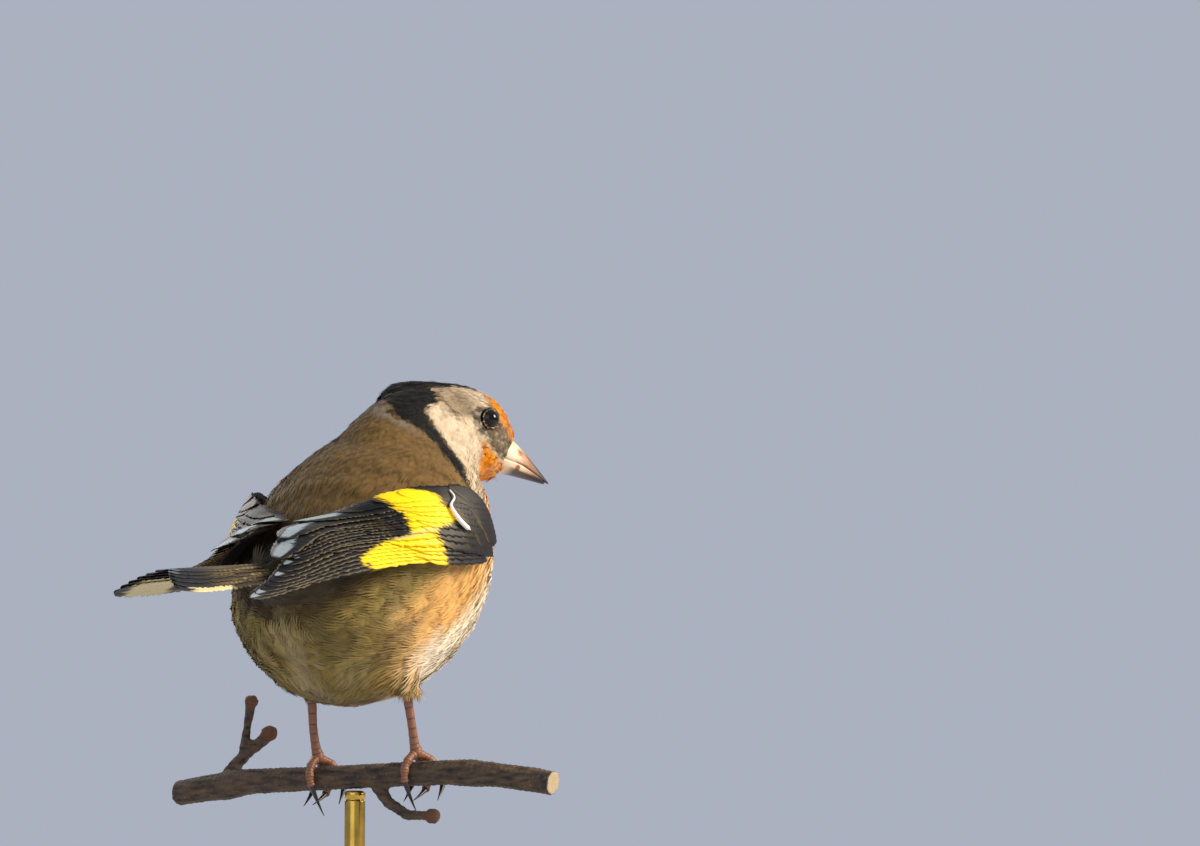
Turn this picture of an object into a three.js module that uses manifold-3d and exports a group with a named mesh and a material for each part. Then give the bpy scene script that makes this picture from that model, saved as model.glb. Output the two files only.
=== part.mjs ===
// A European goldfinch at life size, perched on a cut twig that a turned display stand holds up.
// Millimetres, +Z up. The bird faces +X, its left is +Y, and the origin is the middle of the stand's underside.
import * as THREE from "three";
import { mergeVertices } from "three/addons/utils/BufferGeometryUtils.js";
import Module from "manifold-3d";

const wasm = await Module();
wasm.setup();

// Driving dimensions
const GAP = 0.3; // the clear gap that neighbouring pieces keep
const PERCH_HEIGHT = 95; // the twig's axis above the table
const TWIG_RADIUS = 2.5;
const FOOT_SPREAD = 11.5; // each foot from the midline
const BASE = { radius: 42, height: 8, x: -5, rod: 2, rodY: 3 };

const TORSO = {
  centre: [0.5, 1.8, 44.6], // from the twig's axis
  pitch: 42, // degrees that the breast is raised
  length: 70,
  width: 49,
  back: 20, // from the long axis to the back
  belly: 29.5, // from the long axis to the belly
};
const HEAD = {
  centre: [26.2, -2, 71],
  turn: -34, // degrees that it looks to its right
  pitch: -10,
};
const BILL = { forward: 11.4, up: -3.4, droop: -17 };
const EYE = { radius: 1.9, forward: 4.3, side: 7.4, up: 1.6 };
const TAIL = { root: [-27, 0, 37.6], pitch: -7.6, turn: 1.3, length: 46, fork: 6, feathers: 12 };
const LEFT_WING = { up: 4.5, in: 1.2 }; // how its tip lies beside the right wing's
const VANE = 0.55; // thickness of a vane

const COLOURS = {
  brown: 0x7a5a3a,
  pale: 0xcdb897,
  black: 0x17161a,
  bill: 0xe2cdb2,
  eye: 0x120c08,
  leg: 0x8c5f4a,
  claw: 0x2c2320,
  bark: 0x4b3a30,
  wood: 0x4a2f1f,
  brass: 0xb08d4a,
};

// Small vector helpers
const vec = (a) => new THREE.Vector3(a[0], a[1], a[2]);
const radians = THREE.MathUtils.degToRad;
const lerp = THREE.MathUtils.lerp;

// A frame of three axes at a point: forward, side (to the left) and up.
function frameAt(centre, turn, pitch, roll = 0) {
  const euler = new THREE.Euler(radians(roll), radians(-pitch), radians(turn), "ZYX");
  const forward = new THREE.Vector3(1, 0, 0).applyEuler(euler);
  const side = new THREE.Vector3(0, 1, 0).applyEuler(euler);
  const up = new THREE.Vector3(0, 0, 1).applyEuler(euler);
  return { centre: vec(centre), forward, side, up };
}

function inFrame(frame, f, s, u) {
  return frame.centre
    .clone()
    .addScaledVector(frame.forward, f)
    .addScaledVector(frame.side, s)
    .addScaledVector(frame.up, u);
}

// Smooth values between the rows of a table whose first column is the place along it.
function along(table, x) {
  let i = 0;
  while (i < table.length - 2 && x > table[i + 1][0]) i++;
  const rows = [table[Math.max(i - 1, 0)], table[i], table[i + 1]];
  rows.push(table[Math.min(i + 2, table.length - 1)]);
  const [a, b, c, d] = rows;
  const step = c[0] - b[0];
  const t = THREE.MathUtils.clamp((x - b[0]) / step, 0, 1);
  return b.slice(1).map((value, k) => {
    const j = k + 1;
    const inSlope = ((c[j] - a[j]) / (c[0] - a[0])) * step;
    const outSlope = ((d[j] - b[j]) / (d[0] - b[0])) * step;
    const t2 = t * t;
    const t3 = t2 * t;
    return (
      (2 * t3 - 3 * t2 + 1) * value +
      (t3 - 2 * t2 + t) * inSlope +
      (3 * t2 - 2 * t3) * c[j] +
      (t3 - t2) * outSlope
    );
  });
}

// Solids
function geometryOf(points, faces) {
  const corner = (i) => points[i];
  let volume = 0;
  for (const [a, b, c] of faces)
    volume += corner(a).dot(new THREE.Vector3().crossVectors(corner(b), corner(c)));
  const index = faces.flatMap(([a, b, c]) => (volume < 0 ? [a, c, b] : [a, b, c]));
  const geometry = new THREE.BufferGeometry().setFromPoints(points);
  geometry.setIndex(index);
  return geometry;
}

// Rings of points joined into one closed skin, with a fan at each end.
function loft(rings) {
  const sides = rings[0].length;
  const points = rings.flat();
  const faces = [];
  for (let i = 0; i < rings.length - 1; i++)
    for (let j = 0; j < sides; j++) {
      const k = (j + 1) % sides;
      const [a, b, c, d] = [i * sides + j, i * sides + k, (i + 1) * sides + k, (i + 1) * sides + j];
      faces.push([a, b, c], [a, c, d]);
    }
  for (const end of [0, rings.length - 1]) {
    const middle = new THREE.Vector3();
    rings[end].forEach((p) => middle.addScaledVector(p, 1 / sides));
    points.push(middle);
    for (let j = 0; j < sides; j++) {
      const [a, b] = [end * sides + j, end * sides + ((j + 1) % sides)];
      faces.push(end ? [a, b, points.length - 1] : [b, a, points.length - 1]);
    }
  }
  return geometryOf(points, faces);
}

// A thin plate between two grids of points, both split into triangles the same way.
function plate(top, bottom) {
  const [rows, columns] = [top.length, top[0].length];
  const points = [...top.flat(), ...bottom.flat()];
  const upper = (i, j) => i * columns + j;
  const lower = (i, j) => rows * columns + i * columns + j;
  const faces = [];
  for (let i = 0; i < rows - 1; i++)
    for (let j = 0; j < columns - 1; j++) {
      const corners = [[i, j], [i + 1, j], [i + 1, j + 1], [i, j + 1]];
      const [a, b, c, d] = corners.map(([x, y]) => upper(x, y));
      const [e, f, g, h] = corners.map(([x, y]) => lower(x, y));
      faces.push([a, b, c], [a, c, d], [e, g, f], [e, h, g]);
    }
  const rim = [];
  for (let i = 0; i < rows - 1; i++) rim.push([[i + 1, 0], [i, 0]]);
  for (let j = 0; j < columns - 1; j++) rim.push([[0, j], [0, j + 1]]);
  for (let i = 0; i < rows - 1; i++) rim.push([[i, columns - 1], [i + 1, columns - 1]]);
  for (let j = columns - 1; j > 0; j--) rim.push([[rows - 1, j], [rows - 1, j - 1]]);
  for (const [p, q] of rim)
    faces.push([upper(...p), upper(...q), lower(...q)], [upper(...p), lower(...q), lower(...p)]);
  return geometryOf(points, faces);
}

function solidOf(geometry) {
  const bare = new THREE.BufferGeometry()
    .setAttribute("position", geometry.getAttribute("position"))
    .setIndex(geometry.index);
  const merged = mergeVertices(bare, 1e-4);
  return new wasm.Manifold(
    new wasm.Mesh({
      numProp: 3,
      vertProperties: merged.attributes.position.array,
      triVerts: new Uint32Array(merged.index.array),
    }),
  );
}

const join = (pieces) => pieces.reduce((whole, piece) => whole.add(piece));

// Only the largest closed body is kept, without the slivers that a cut leaves.
const FINEST = 0.04;

function largest(solid, finest = FINEST) {
  const bodies = solid.simplify(finest).decompose();
  return bodies.sort((a, b) => b.volume() - a.volume())[0];
}

function meshOf(name, solid, colour, roughness = 0.7, metalness = 0) {
  const made = solid.getMesh();
  const geometry = new THREE.BufferGeometry();
  geometry.setAttribute("position", new THREE.BufferAttribute(made.vertProperties, 3));
  geometry.setIndex(new THREE.BufferAttribute(made.triVerts, 1));
  geometry.computeVertexNormals();
  const mesh = new THREE.Mesh(
    geometry,
    new THREE.MeshStandardMaterial({ color: colour, roughness, metalness }),
  );
  mesh.name = name;
  return mesh;
}

// An oval ring across a frame, taller above its centre or below it.
function oval(frame, f, halfWidth, up, down, sides, lift = 0) {
  const ring = [];
  for (let j = 0; j < sides; j++) {
    const angle = (2 * Math.PI * j) / sides;
    const height = Math.sin(angle) > 0 ? up : down;
    ring.push(inFrame(frame, f, halfWidth * Math.cos(angle), lift + height * Math.sin(angle)));
  }
  return ring;
}

// A tube along a line of points, its rings kept square to one reference direction.
function tube(points, radii, sides, reference) {
  const rings = points.map((point, i) => {
    const ahead = points[Math.min(i + 1, points.length - 1)];
    const behind = points[Math.max(i - 1, 0)];
    const tangent = ahead.clone().sub(behind).normalize();
    const across = new THREE.Vector3().crossVectors(tangent, reference).normalize();
    const over = new THREE.Vector3().crossVectors(across, tangent);
    return Array.from({ length: sides }, (_, j) => {
      const angle = (2 * Math.PI * j) / sides;
      return point
        .clone()
        .addScaledVector(across, radii[i] * Math.cos(angle))
        .addScaledVector(over, radii[i] * Math.sin(angle));
    });
  });
  return solidOf(loft(rings));
}

function ball(centre, radius, segments = 14, rings = 9) {
  const sphere = new THREE.SphereGeometry(radius, segments, rings);
  return solidOf(sphere.translate(centre.x, centre.y, centre.z));
}

// A flat slab across a direction, wide enough to part the whole bird.
function slab(centre, normal, thickness) {
  const box = new THREE.BoxGeometry(160, 160, thickness);
  const turn = new THREE.Quaternion().setFromUnitVectors(new THREE.Vector3(0, 0, 1), normal);
  box.applyQuaternion(turn).translate(centre.x, centre.y, centre.z);
  return solidOf(box);
}

// Torso: an egg along a raised axis, with the rump's coverts running out over the tail's root.
// A margin grows it when it is used to cut its neighbours clear.
const torsoFrame = frameAt(TORSO.centre, 0, TORSO.pitch);
const FULLNESS = 0.88;
const TAPER = 0.26; // how much narrower the breast is than the flanks

const RUMP_TAPER = 0.28; // how much lower the back is over the rump

const breastWidth = (f) => 1 - TAPER * Math.max(0, f / (TORSO.length / 2)) ** 1.5;
const backHeight = (f) => TORSO.back * (1 - RUMP_TAPER * Math.max(0, -f / (TORSO.length / 2)) ** 1.2);

function torsoSolid(margin = 0) {
  const SIDES = 28;
  const RINGS = 15;
  const egg = [];
  for (let i = 1; i < RINGS; i++) {
    const t = (Math.PI * i) / RINGS;
    const swell = Math.sin(t) ** FULLNESS;
    const f = (-Math.cos(t) * TORSO.length) / 2;
    egg.push(
      oval(
        torsoFrame,
        f - Math.cos(t) * margin,
        (swell * breastWidth(f) * TORSO.width) / 2 + margin,
        swell * backHeight(f) + margin,
        swell * TORSO.belly + margin,
        SIDES,
      ),
    );
  }
  // Along the tail: place, half width, height above and below the tail's line.
  const RUMP = [
    [-20, 19, 11, 13],
    [-6, 13.5, 7.5, 11],
    [4, 8.6, 4, 7.6],
    [9, 6.2, 2.6, 5.4],
    [13, 4.2, 1.2, 3.2],
  ];
  const line = frameAt(TAIL.root, 180 + TAIL.turn, TAIL.pitch);
  const rump = [-20, -13, -6, 0, 5, 9, 11.5, 13].map((f) => {
    const [w, up, down] = along(RUMP, f);
    return oval(line, f, w + margin, up + margin, down + margin, SIDES - 4);
  });
  return join([egg, rump].map((rings) => solidOf(loft(rings))));
}

function neckSolid(margin = 0) {
  // From the torso to the head: step, x, y, z, slope, half width, back, throat.
  const NECK = [
    [0, 8, 0.5, 50, 50, 18.5, 20, 14],
    [1, 14, 0, 58, 52, 15, 19.5, 11],
    [2, 19.5, -1, 65, 46, 11.4, 16.5, 9.5],
    [3, 23, -2, 70, 36, 9, 11, 9],
  ];
  const rings = [];
  for (let i = 0; i <= 7; i++) {
    const [x, y, z, slope, w, back, throat] = along(NECK, (3 * i) / 7);
    const frame = frameAt([x, y, z], (HEAD.turn * i) / 14, slope);
    rings.push(oval(frame, 0, w + margin, back + margin, throat + margin, 26));
  }
  return solidOf(loft(rings));
}

const headFrame = frameAt(HEAD.centre, HEAD.turn, HEAD.pitch);

// From the nape to the bill's root: place, half width, crown, throat.
const SKULL = [
  [-17, 3.4, 4.4, 2.2],
  [-14.6, 6.2, 6.6, 4.4],
  [-10, 8.4, 8.2, 7.6],
  [-4.5, 9.3, 9.2, 9.8],
  [1, 9.2, 9.4, 10.8],
  [5.5, 8.2, 8.4, 10.8],
  [9, 6.6, 6.4, 9.6],
  [11.4, 4.6, 4, 7.6],
  [12.6, 2.6, 2, 5],
];

function headSolid(margin = 0) {
  const rings = [];
  for (let i = 0; i <= 13; i++) {
    const f = lerp(SKULL[0][0], SKULL.at(-1)[0], i / 13);
    const [w, crown, throat] = along(SKULL, f);
    rings.push(oval(headFrame, f, w + margin, crown + margin, throat + margin, 24));
  }
  return solidOf(loft(rings));
}

// Bill: two halves that meet along a bent line of the mouth.
const billFrame = frameAt(
  inFrame(headFrame, BILL.forward, 0, BILL.up).toArray(),
  HEAD.turn,
  HEAD.pitch + BILL.droop,
);

// Place, half width, culmen, line of the mouth, gonys.
const BILL_LINE = [
  [-2.2, 3.3, 3.6, -1.5, -3.7],
  [0, 3.2, 3.7, -1.1, -3.6],
  [3, 2.6, 3.0, -0.4, -2.6],
  [6.5, 1.65, 1.8, -0.15, -1.6],
  [9.6, 0.75, 0.65, -0.1, -0.75],
  [11, 0.32, 0.14, -0.1, -0.4],
];

function billHalf(upper) {
  const SIDES = 9;
  const sign = upper ? 1 : -1;
  const rings = [];
  for (let i = 0; i <= 8; i++) {
    const f = lerp(-2.2, upper ? 11 : 10.1, i / 8); // the lower half is a little shorter
    const [w, culmen, mouth, gonys] = along(BILL_LINE, f);
    const seam = mouth + (sign * GAP) / 2;
    const rise = (upper ? culmen : gonys) - seam;
    const ring = [];
    for (let j = 0; j < SIDES; j++) {
      const angle = (Math.PI * j) / (SIDES - 1);
      ring.push(inFrame(billFrame, f, w * Math.cos(angle), seam + rise * Math.sin(angle)));
    }
    rings.push(ring);
  }
  return solidOf(loft(rings));
}

// The room that the bill's root takes in the face.
function billRoom() {
  const rings = [-2.2 - GAP, 0, 2, 4, 7].map((f) => {
    const [w, culmen, mouth, gonys] = along(BILL_LINE, f);
    return oval(billFrame, f, w + GAP, culmen - mouth + GAP, mouth - gonys + GAP, 16, mouth);
  });
  return solidOf(loft(rings));
}

// Wing: a sheet that hugs the flank, measured from the bend of the wing to the tip (in millimetres)
// and from its lower edge (0) to its upper edge (1).
const WING_SHEET = [
  [-4, 14, -18.5, 43.5, 12, -19.5, 48, 7.5, -17.5, 52],
  [0, 11, -20.5, 42, 8.5, -21.5, 47.5, 3, -19, 52],
  [20, -8, -23, 39.5, -13, -20.5, 46.5, -17, -14.5, 51],
  [38, -25, -18.5, 35.5, -28.5, -12.5, 42, -31, -3.5, 45.6],
  [54, -39, -13, 32, -41, -9.5, 35, -42, -5.5, 37.5],
  [72, -52, -9.6, 28, -53, -9, 29.4, -53.5, -8, 31],
];

function sheetPoint(s, t, side) {
  const row = along(WING_SHEET, s);
  const [low, mid, high] = [0, 3, 6].map((k) => vec(row.slice(k, k + 3)));
  const point = new THREE.Vector3()
    .addScaledVector(low, 2 * (t - 0.5) * (t - 1))
    .addScaledVector(mid, -4 * t * (t - 1))
    .addScaledVector(high, 2 * t * (t - 0.5));
  // The sheet is drawn to the body's surface over the flank and left free towards the tip.
  const local = point.clone().sub(torsoFrame.centre);
  if (side > 0) local.y += 2 * torsoFrame.centre.y;
  const f = local.dot(torsoFrame.forward);
  const y = local.dot(torsoFrame.side);
  const u = local.dot(torsoFrame.up);
  const depth = u > 0 ? backHeight(f) : TORSO.belly;
  let level = 1;
  for (let i = 0; i < 6; i++) {
    const girth = Math.hypot(y / (breastWidth(f) * TORSO.width) / 0.5, u / depth) / level;
    level *= Math.sqrt((f / level / (TORSO.length / 2)) ** 2 + girth ** (2 / FULLNESS));
  }
  const clear = lerp(1.3, 1, THREE.MathUtils.smoothstep(s, 3, 16));
  const wanted = 1 / level + clear / local.length();
  const hold = 1 - THREE.MathUtils.smoothstep(s, 26, 42);
  const scale = wanted > 1 ? wanted : lerp(1, wanted, hold);
  const drawn = local.multiplyScalar(scale).add(torsoFrame.centre);
  if (side < 0) return drawn;
  // The left wing's end lies a little higher and closer in than the right one's.
  const settled = THREE.MathUtils.smoothstep(s, 30, 72);
  return new THREE.Vector3(
    drawn.x,
    2 * torsoFrame.centre.y - drawn.y - LEFT_WING.in * settled,
    drawn.z + LEFT_WING.up * settled,
  );
}

function sheetAt(s, t, lift, side) {
  const step = 0.5;
  const point = sheetPoint(s, t, side);
  const alongS = sheetPoint(s + step, t, side).sub(sheetPoint(s - step, t, side));
  const alongT = sheetPoint(s, t + 0.04, side).sub(sheetPoint(s, t - 0.04, side));
  const outward = new THREE.Vector3().crossVectors(alongT, alongS).normalize();
  const thin = lerp(0.6, 0.85, THREE.MathUtils.smoothstep(s, 2, 24));
  return point.addScaledVector(outward, -side * (lift > 0 ? lift * thin : lift));
}

const sheetWidth = (s) => sheetPoint(s, 0, -1).distanceTo(sheetPoint(s, 1, -1));

// Tiers of vanes: the first and last of each tier by root, tip, width, and how high the tier lies.
const WING_TIERS = [
  { count: 9, root: [13, 0.06, 17, 0.36], tip: [71, 0.25, 50, 0.66], width: [4.2, 5.4], lift: 0.2, step: 0.36 },
  { count: 5, root: [17, 0.4, 17, 0.64], tip: [49, 0.6, 47, 0.82], width: [5.2, 5.8], lift: 0.5, step: 0.36 },
  { count: 3, root: [16, 0.68, 15, 0.9], tip: [53, 0.8, 38, 0.94], width: [6.4, 7.4], lift: 0.7, step: 0.5 },
  { count: 3, root: [6, 0.07, 8, 0.24], tip: [25, 0.08, 28, 0.3], width: [4.6, 5], lift: 0.7, step: 0.4 },
  { count: 5, root: [10, 0.3, 11, 0.92], tip: [30, 0.34, 30, 0.92], width: [6.2, 6.2], lift: 1.1, step: 0.4 },
  { count: 4, root: [6, 0.24, 7, 0.92], tip: [19, 0.26, 20, 0.92], width: [6.8, 6.8], lift: 1.5, step: 0.4 },
  { count: 3, root: [2.5, 0.2, 3, 0.9], tip: [12, 0.24, 13, 0.88], width: [7.6, 7.6], lift: 1.8, step: 0.4 },
];

// Along a vane: place and share of its width. Long feathers have one row more.
const LONG_VANE = [[0, 0.6], [0.45, 1], [0.86, 0.84], [1, 0.2]];
const SHORT_VANE = [[0, 0.7], [0.7, 1], [1, 0.3]];

function wingVane(tier, k, side) {
  const part = k / (tier.count - 1);
  const [rootS, rootT] = [0, 1].map((i) => lerp(tier.root[i], tier.root[i + 2], part));
  const [tipS, tipT] = [0, 1].map((i) => lerp(tier.tip[i], tier.tip[i + 2], part));
  const width = lerp(tier.width[0], tier.width[1], part);
  const spread = Math.abs(tier.tip[3] - tier.tip[1]) / (tier.count - 1);
  const top = [];
  const bottom = [];
  for (const [u, share] of tier.tip[0] > 30 ? LONG_VANE : SHORT_VANE) {
    const s = lerp(rootS, tipS, u);
    const t = lerp(rootT, tipT, u);
    const across = Math.max(sheetWidth(s), 4);
    const half = (width * share) / 2 / across;
    const shingle = Math.min((tier.step * width) / Math.max(spread * across, 0.9), 2.2);
    const sunk = u === 0 ? -0.7 : 0;
    const [upper, lower] = [[], []];
    for (const w of [-1, 0, 1]) {
      const height = tier.lift + sunk - (shingle * w * share) / 2 + (w ? 0 : 0.18);
      upper.push(sheetAt(s, t + w * half, height, side));
      lower.push(sheetAt(s, t + w * half, height - VANE, side));
    }
    top.push(upper);
    bottom.push(lower);
  }
  return solidOf(plate(top, bottom));
}

function wingCore(side) {
  const grid = (lift) =>
    [2, 4.5, 7.5, 11, 16, 23, 31, 40].map((s) =>
      [0.03, 0.27, 0.5, 0.73, 0.97].map((t) => sheetAt(s, t, lift, side)),
    );
  return solidOf(plate(grid(0.8), grid(-1.3)));
}

function wingSolid(side) {
  const vanes = WING_TIERS.flatMap((tier) =>
    Array.from({ length: tier.count }, (_, k) => wingVane(tier, k, side)),
  );
  return join([wingCore(side), ...vanes]);
}

// Tail: pairs of vanes that fan a little, the middle pair on top, fused along their shafts.
const tailFrame = frameAt(TAIL.root, 180 + TAIL.turn, TAIL.pitch);

function tailVane(pair, side) {
  const outer = pair / (TAIL.feathers / 2 - 1);
  const length = TAIL.length - TAIL.fork * (1 - outer) ** 1.3;
  const top = [];
  const bottom = [];
  for (const [u, share] of [[0, 0.7], [0.35, 0.9], [0.72, 1], [0.93, 0.8], [1, 0.25]]) {
    const f = lerp(4, length, u);
    const centre = side * lerp(0.9 + 0.45 * pair, 1.5 + 1.05 * pair, u);
    const half = 2.4 * share;
    const [upper, lower] = [[], []];
    for (const w of [-1, 0, 1]) {
      const y = centre + w * half;
      const height = 1 - 0.34 * pair - 0.036 * y * y - 0.16 * w * side * share + (w ? 0 : 0.15);
      upper.push(inFrame(tailFrame, f, y, height));
      lower.push(inFrame(tailFrame, f, y, height - VANE));
    }
    top.push(upper);
    bottom.push(lower);
  }
  return solidOf(plate(top, bottom));
}

function tailSolid() {
  const vanes = [];
  for (let pair = 0; pair < TAIL.feathers / 2; pair++)
    for (const side of [-1, 1]) vanes.push(tailVane(pair, side));
  const stem = [2, 9, 16, 24].map((f, i) => oval(tailFrame, f, 5 - i * 0.5, 1.1, 2.2 - i * 0.4, 14, -0.3));
  return join([solidOf(loft(stem)), ...vanes]);
}

function tailClearance() {
  const rings = [0, 12, 30, 46, TAIL.length + 3].map((f) => {
    const half = lerp(6.1, 9.9, f / TAIL.length);
    return oval(tailFrame, f, half, 1.7, 4.6, 20);
  });
  return solidOf(loft(rings));
}

// Legs: a bare shank and four toes that wrap the twig, three over the front and one behind.
const ACROSS = new THREE.Vector3(0, 1, 0);

function aroundTwig(angle, radius, y) {
  return new THREE.Vector3(radius * Math.cos(radians(angle)), y, radius * Math.sin(radians(angle)));
}

const TOE_RADIUS = 0.9;
const TOE_TRACK = TWIG_RADIUS + GAP + TOE_RADIUS + 0.05;
// Name, first and last angle round the twig, sideways spread in millimetres, claw's length.
const TOES = [
  ["inner", 84, -22, -3.4, 4],
  ["middle", 84, -50, 0.2, 4.4],
  ["outer", 84, -26, 3.6, 4],
  ["hind", 112, 206, -0.6, 6.6],
];

function toeSolid([, from, to, spread], y, side) {
  const points = [];
  const radii = [];
  for (let i = 0; i <= 6; i++) {
    const u = i / 6;
    points.push(aroundTwig(lerp(from, to, u), TOE_TRACK, y + side * spread * u));
    radii.push(TOE_RADIUS * (1 - 0.22 * u) * (i % 2 ? 0.9 : 1));
  }
  return tube(points, radii, 6, ACROSS);
}

function clawSolid([, from, to, spread, length], y, side) {
  const turn = Math.sign(to - from);
  const start = to + turn * 6;
  const tangent = aroundTwig(start + turn * 90, 1, 0);
  const inward = aroundTwig(start + 180, 1, 0);
  const root = aroundTwig(start, TOE_TRACK, y + side * spread * 1.03);
  const points = [];
  const radii = [];
  for (let i = 0; i <= 4; i++) {
    const u = i / 4;
    points.push(
      root
        .clone()
        .addScaledVector(tangent, length * u)
        .addScaledVector(inward, 0.09 * length * u * u * turn * turn)
        .addScaledVector(ACROSS, side * spread * 0.12 * u),
    );
    radii.push(lerp(0.62, 0.12, u ** 0.9));
  }
  return tube(points, radii, 6, ACROSS);
}

function footSolid(side) {
  const y = side * FOOT_SPREAD;
  const shank = [
    [-3.6, y - side * 0.3, 17.5, 1.3],
    [-3, y - side * 0.3, 14, 0.95],
    [-2.1, y, 9.5, 0.85],
    [-1.2, y, 6, 0.95],
    [-0.5, y, 4.2, 1.3],
  ];
  const points = shank.map((row) => vec(row));
  const pieces = [tube(points, shank.map((row) => row[3]), 9, ACROSS)];
  pieces.push(ball(aroundTwig(97, TOE_TRACK + 0.35, y), 1.3, 10, 8));
  return join([...pieces, ...TOES.map((toe) => toeSolid(toe, y, side))]);
}

function thighSolid(side) {
  const y = side * FOOT_SPREAD;
  const rows = [
    [-3.6, y - side * 1.5, 26, 6.5],
    [-3.6, y - side * 1, 21, 5.4],
    [-3.4, y - side * 0.5, 17.4, 3.8],
    [-3.1, y - side * 0.3, 15, 2.5],
    [-2.9, y - side * 0.3, 13.9, 1.7],
  ];
  return tube(rows.map((row) => vec(row)), rows.map((row) => row[3]), 14, ACROSS);
}

// Perch: a cut length of twig with a budded spur on its left and a bent side twig below on its right.
const UP = new THREE.Vector3(0, 0, 1);

function perchSolid() {
  const line = [
    [0.6, 46, -1.6, 2.55],
    [0.4, 39, -0.9, 2.7],
    [0.3, 33, -0.4, 3.05],
    [0, 27, 0, 2.6],
    [0, 20, 0, TWIG_RADIUS],
    [0, 4, 0, TWIG_RADIUS],
    [0, -18, 0, TWIG_RADIUS],
    [0, -24, -0.3, 2.8],
    [0.2, -29, -0.9, 2.5],
    [0.4, -36, -1.9, 2.45],
    [0.6, -42, -3, 2.4],
  ];
  const twigs = [
    line,
    [[0, 34.5, 0, 2], [1.2, 32, 4, 1.5], [2.3, 29.8, 6.4, 1.35], [3.4, 27.5, 8.4, 1.4], [3.9, 26.5, 9.4, 1.2]],
    [[1.5, 31, 4.6, 1.3], [1.9, 30.7, 8, 1.05], [2.2, 30.3, 12, 1], [2.4, 29.8, 15.6, 1.1]],
    [[0, -1.5, -0.8, 1.6], [-1, -5.5, -5.4, 1.35], [-1.6, -10.5, -8, 1.15], [-1.6, -15, -8.2, 1.1]],
  ];
  const pieces = twigs.map((rows, i) =>
    tube(rows.map((row) => vec(row)), rows.map((row) => row[3]), i ? 7 : 12, i ? new THREE.Vector3(1, 0, 0) : UP),
  );
  const BUDS = [
    [3.9, 26.4, 9.7, 1.75],
    [2.5, 29.7, 16, 1.5],
    [2.7, 30.9, 6.6, 1.6],
    [-1.6, -16, -8.3, 1.7],
  ];
  for (const [x, y, z, r] of BUDS) pieces.push(ball(new THREE.Vector3(x, y, z), r, 8, 6));
  return join(pieces);
}

// Stand: a turned disc and one rod that stops just under the twig.
function standBase() {
  const { radius, height } = BASE;
  const profile = [
    [0, 0],
    [radius - 1, 0],
    [radius, 1],
    [radius, height - 2.4],
    [radius - 0.8, height - 0.9],
    [radius - 2.6, height],
    [0, height],
  ];
  const disc = new THREE.LatheGeometry(profile.map(([r, z]) => new THREE.Vector2(r, z)), 40);
  return solidOf(disc.rotateX(Math.PI / 2).translate(BASE.x, 0, 0));
}

function standRod() {
  const bottom = BASE.height + GAP;
  const top = PERCH_HEIGHT - TWIG_RADIUS - GAP;
  const rod = new THREE.CylinderGeometry(BASE.rod, BASE.rod, top - bottom, 24);
  rod.rotateX(Math.PI / 2).translate(0, BASE.rodY, (top + bottom) / 2);
  return solidOf(rod);
}

// Cutting the whole bird into its named pieces
const eyes = [-1, 1].map((side) => {
  const centre = inFrame(headFrame, EYE.forward, side * EYE.side, EYE.up);
  return { side, name: side > 0 ? "left" : "right", centre };
});

function lidRing(eye) {
  const torus = new THREE.TorusGeometry(EYE.radius + 0.12, 0.5, 6, 14);
  const axis = headFrame.side.clone().multiplyScalar(eye.side).addScaledVector(headFrame.forward, 0.18).normalize();
  const turn = new THREE.Quaternion().setFromUnitVectors(new THREE.Vector3(0, 0, 1), axis);
  torus.scale(1.06, 0.98, 1).applyQuaternion(turn);
  const place = eye.centre.clone().addScaledVector(axis, 0.75);
  return solidOf(torus.translate(place.x, place.y, place.z));
}

const whole = join([torsoSolid(), neckSolid(), headSolid(), ...eyes.map(lidRing)]);
const cut = headFrame.forward.clone().multiplyScalar(0.5).addScaledVector(UP, 0.87).normalize();
const headCut = inFrame(headFrame, -3, 0, -9.5);
const neckCut = headCut.clone().addScaledVector(cut, -6);
const parted = whole
  .subtract(slab(headCut, cut, GAP))
  .subtract(slab(neckCut, cut, GAP))
  .decompose()
  .sort((a, b) => b.volume() - a.volume())
  .slice(0, 3);
const heightOf = (solid) => (solid.boundingBox().max[2] + solid.boundingBox().min[2]) / 2;
const [torsoPiece, neckPiece, headPiece] = parted.sort((a, b) => heightOf(a) - heightOf(b));

let skull = headPiece.subtract(billRoom());
for (const eye of eyes) skull = skull.subtract(ball(eye.centre, EYE.radius + GAP, 14, 8));

const bodyRoom = join([torsoSolid(GAP), neckSolid(GAP), headSolid(GAP)]);
const midline = slab(new THREE.Vector3(), ACROSS, 2 * GAP);
const tailRoom = tailClearance();

const nostrils = [-1, 1].map((side) => ball(inFrame(billFrame, 1.7, side * 2.5, 2), 0.55, 8, 6));
const upperBill = nostrils.reduce((solid, pit) => solid.subtract(pit), billHalf(true));

const meshes = [
  meshOf("torso", largest(torsoPiece), COLOURS.brown),
  meshOf("neck", largest(neckPiece), COLOURS.pale),
  meshOf("head", largest(skull), COLOURS.pale),
  meshOf("bill_upper", largest(upperBill), COLOURS.bill, 0.4),
  meshOf("bill_lower", largest(billHalf(false)), COLOURS.bill, 0.4),
  meshOf("tail", largest(tailSolid().subtract(bodyRoom)), COLOURS.black),
];
for (const eye of eyes) meshes.push(meshOf(`eye_${eye.name}`, ball(eye.centre, EYE.radius), COLOURS.eye, 0.15));

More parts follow.
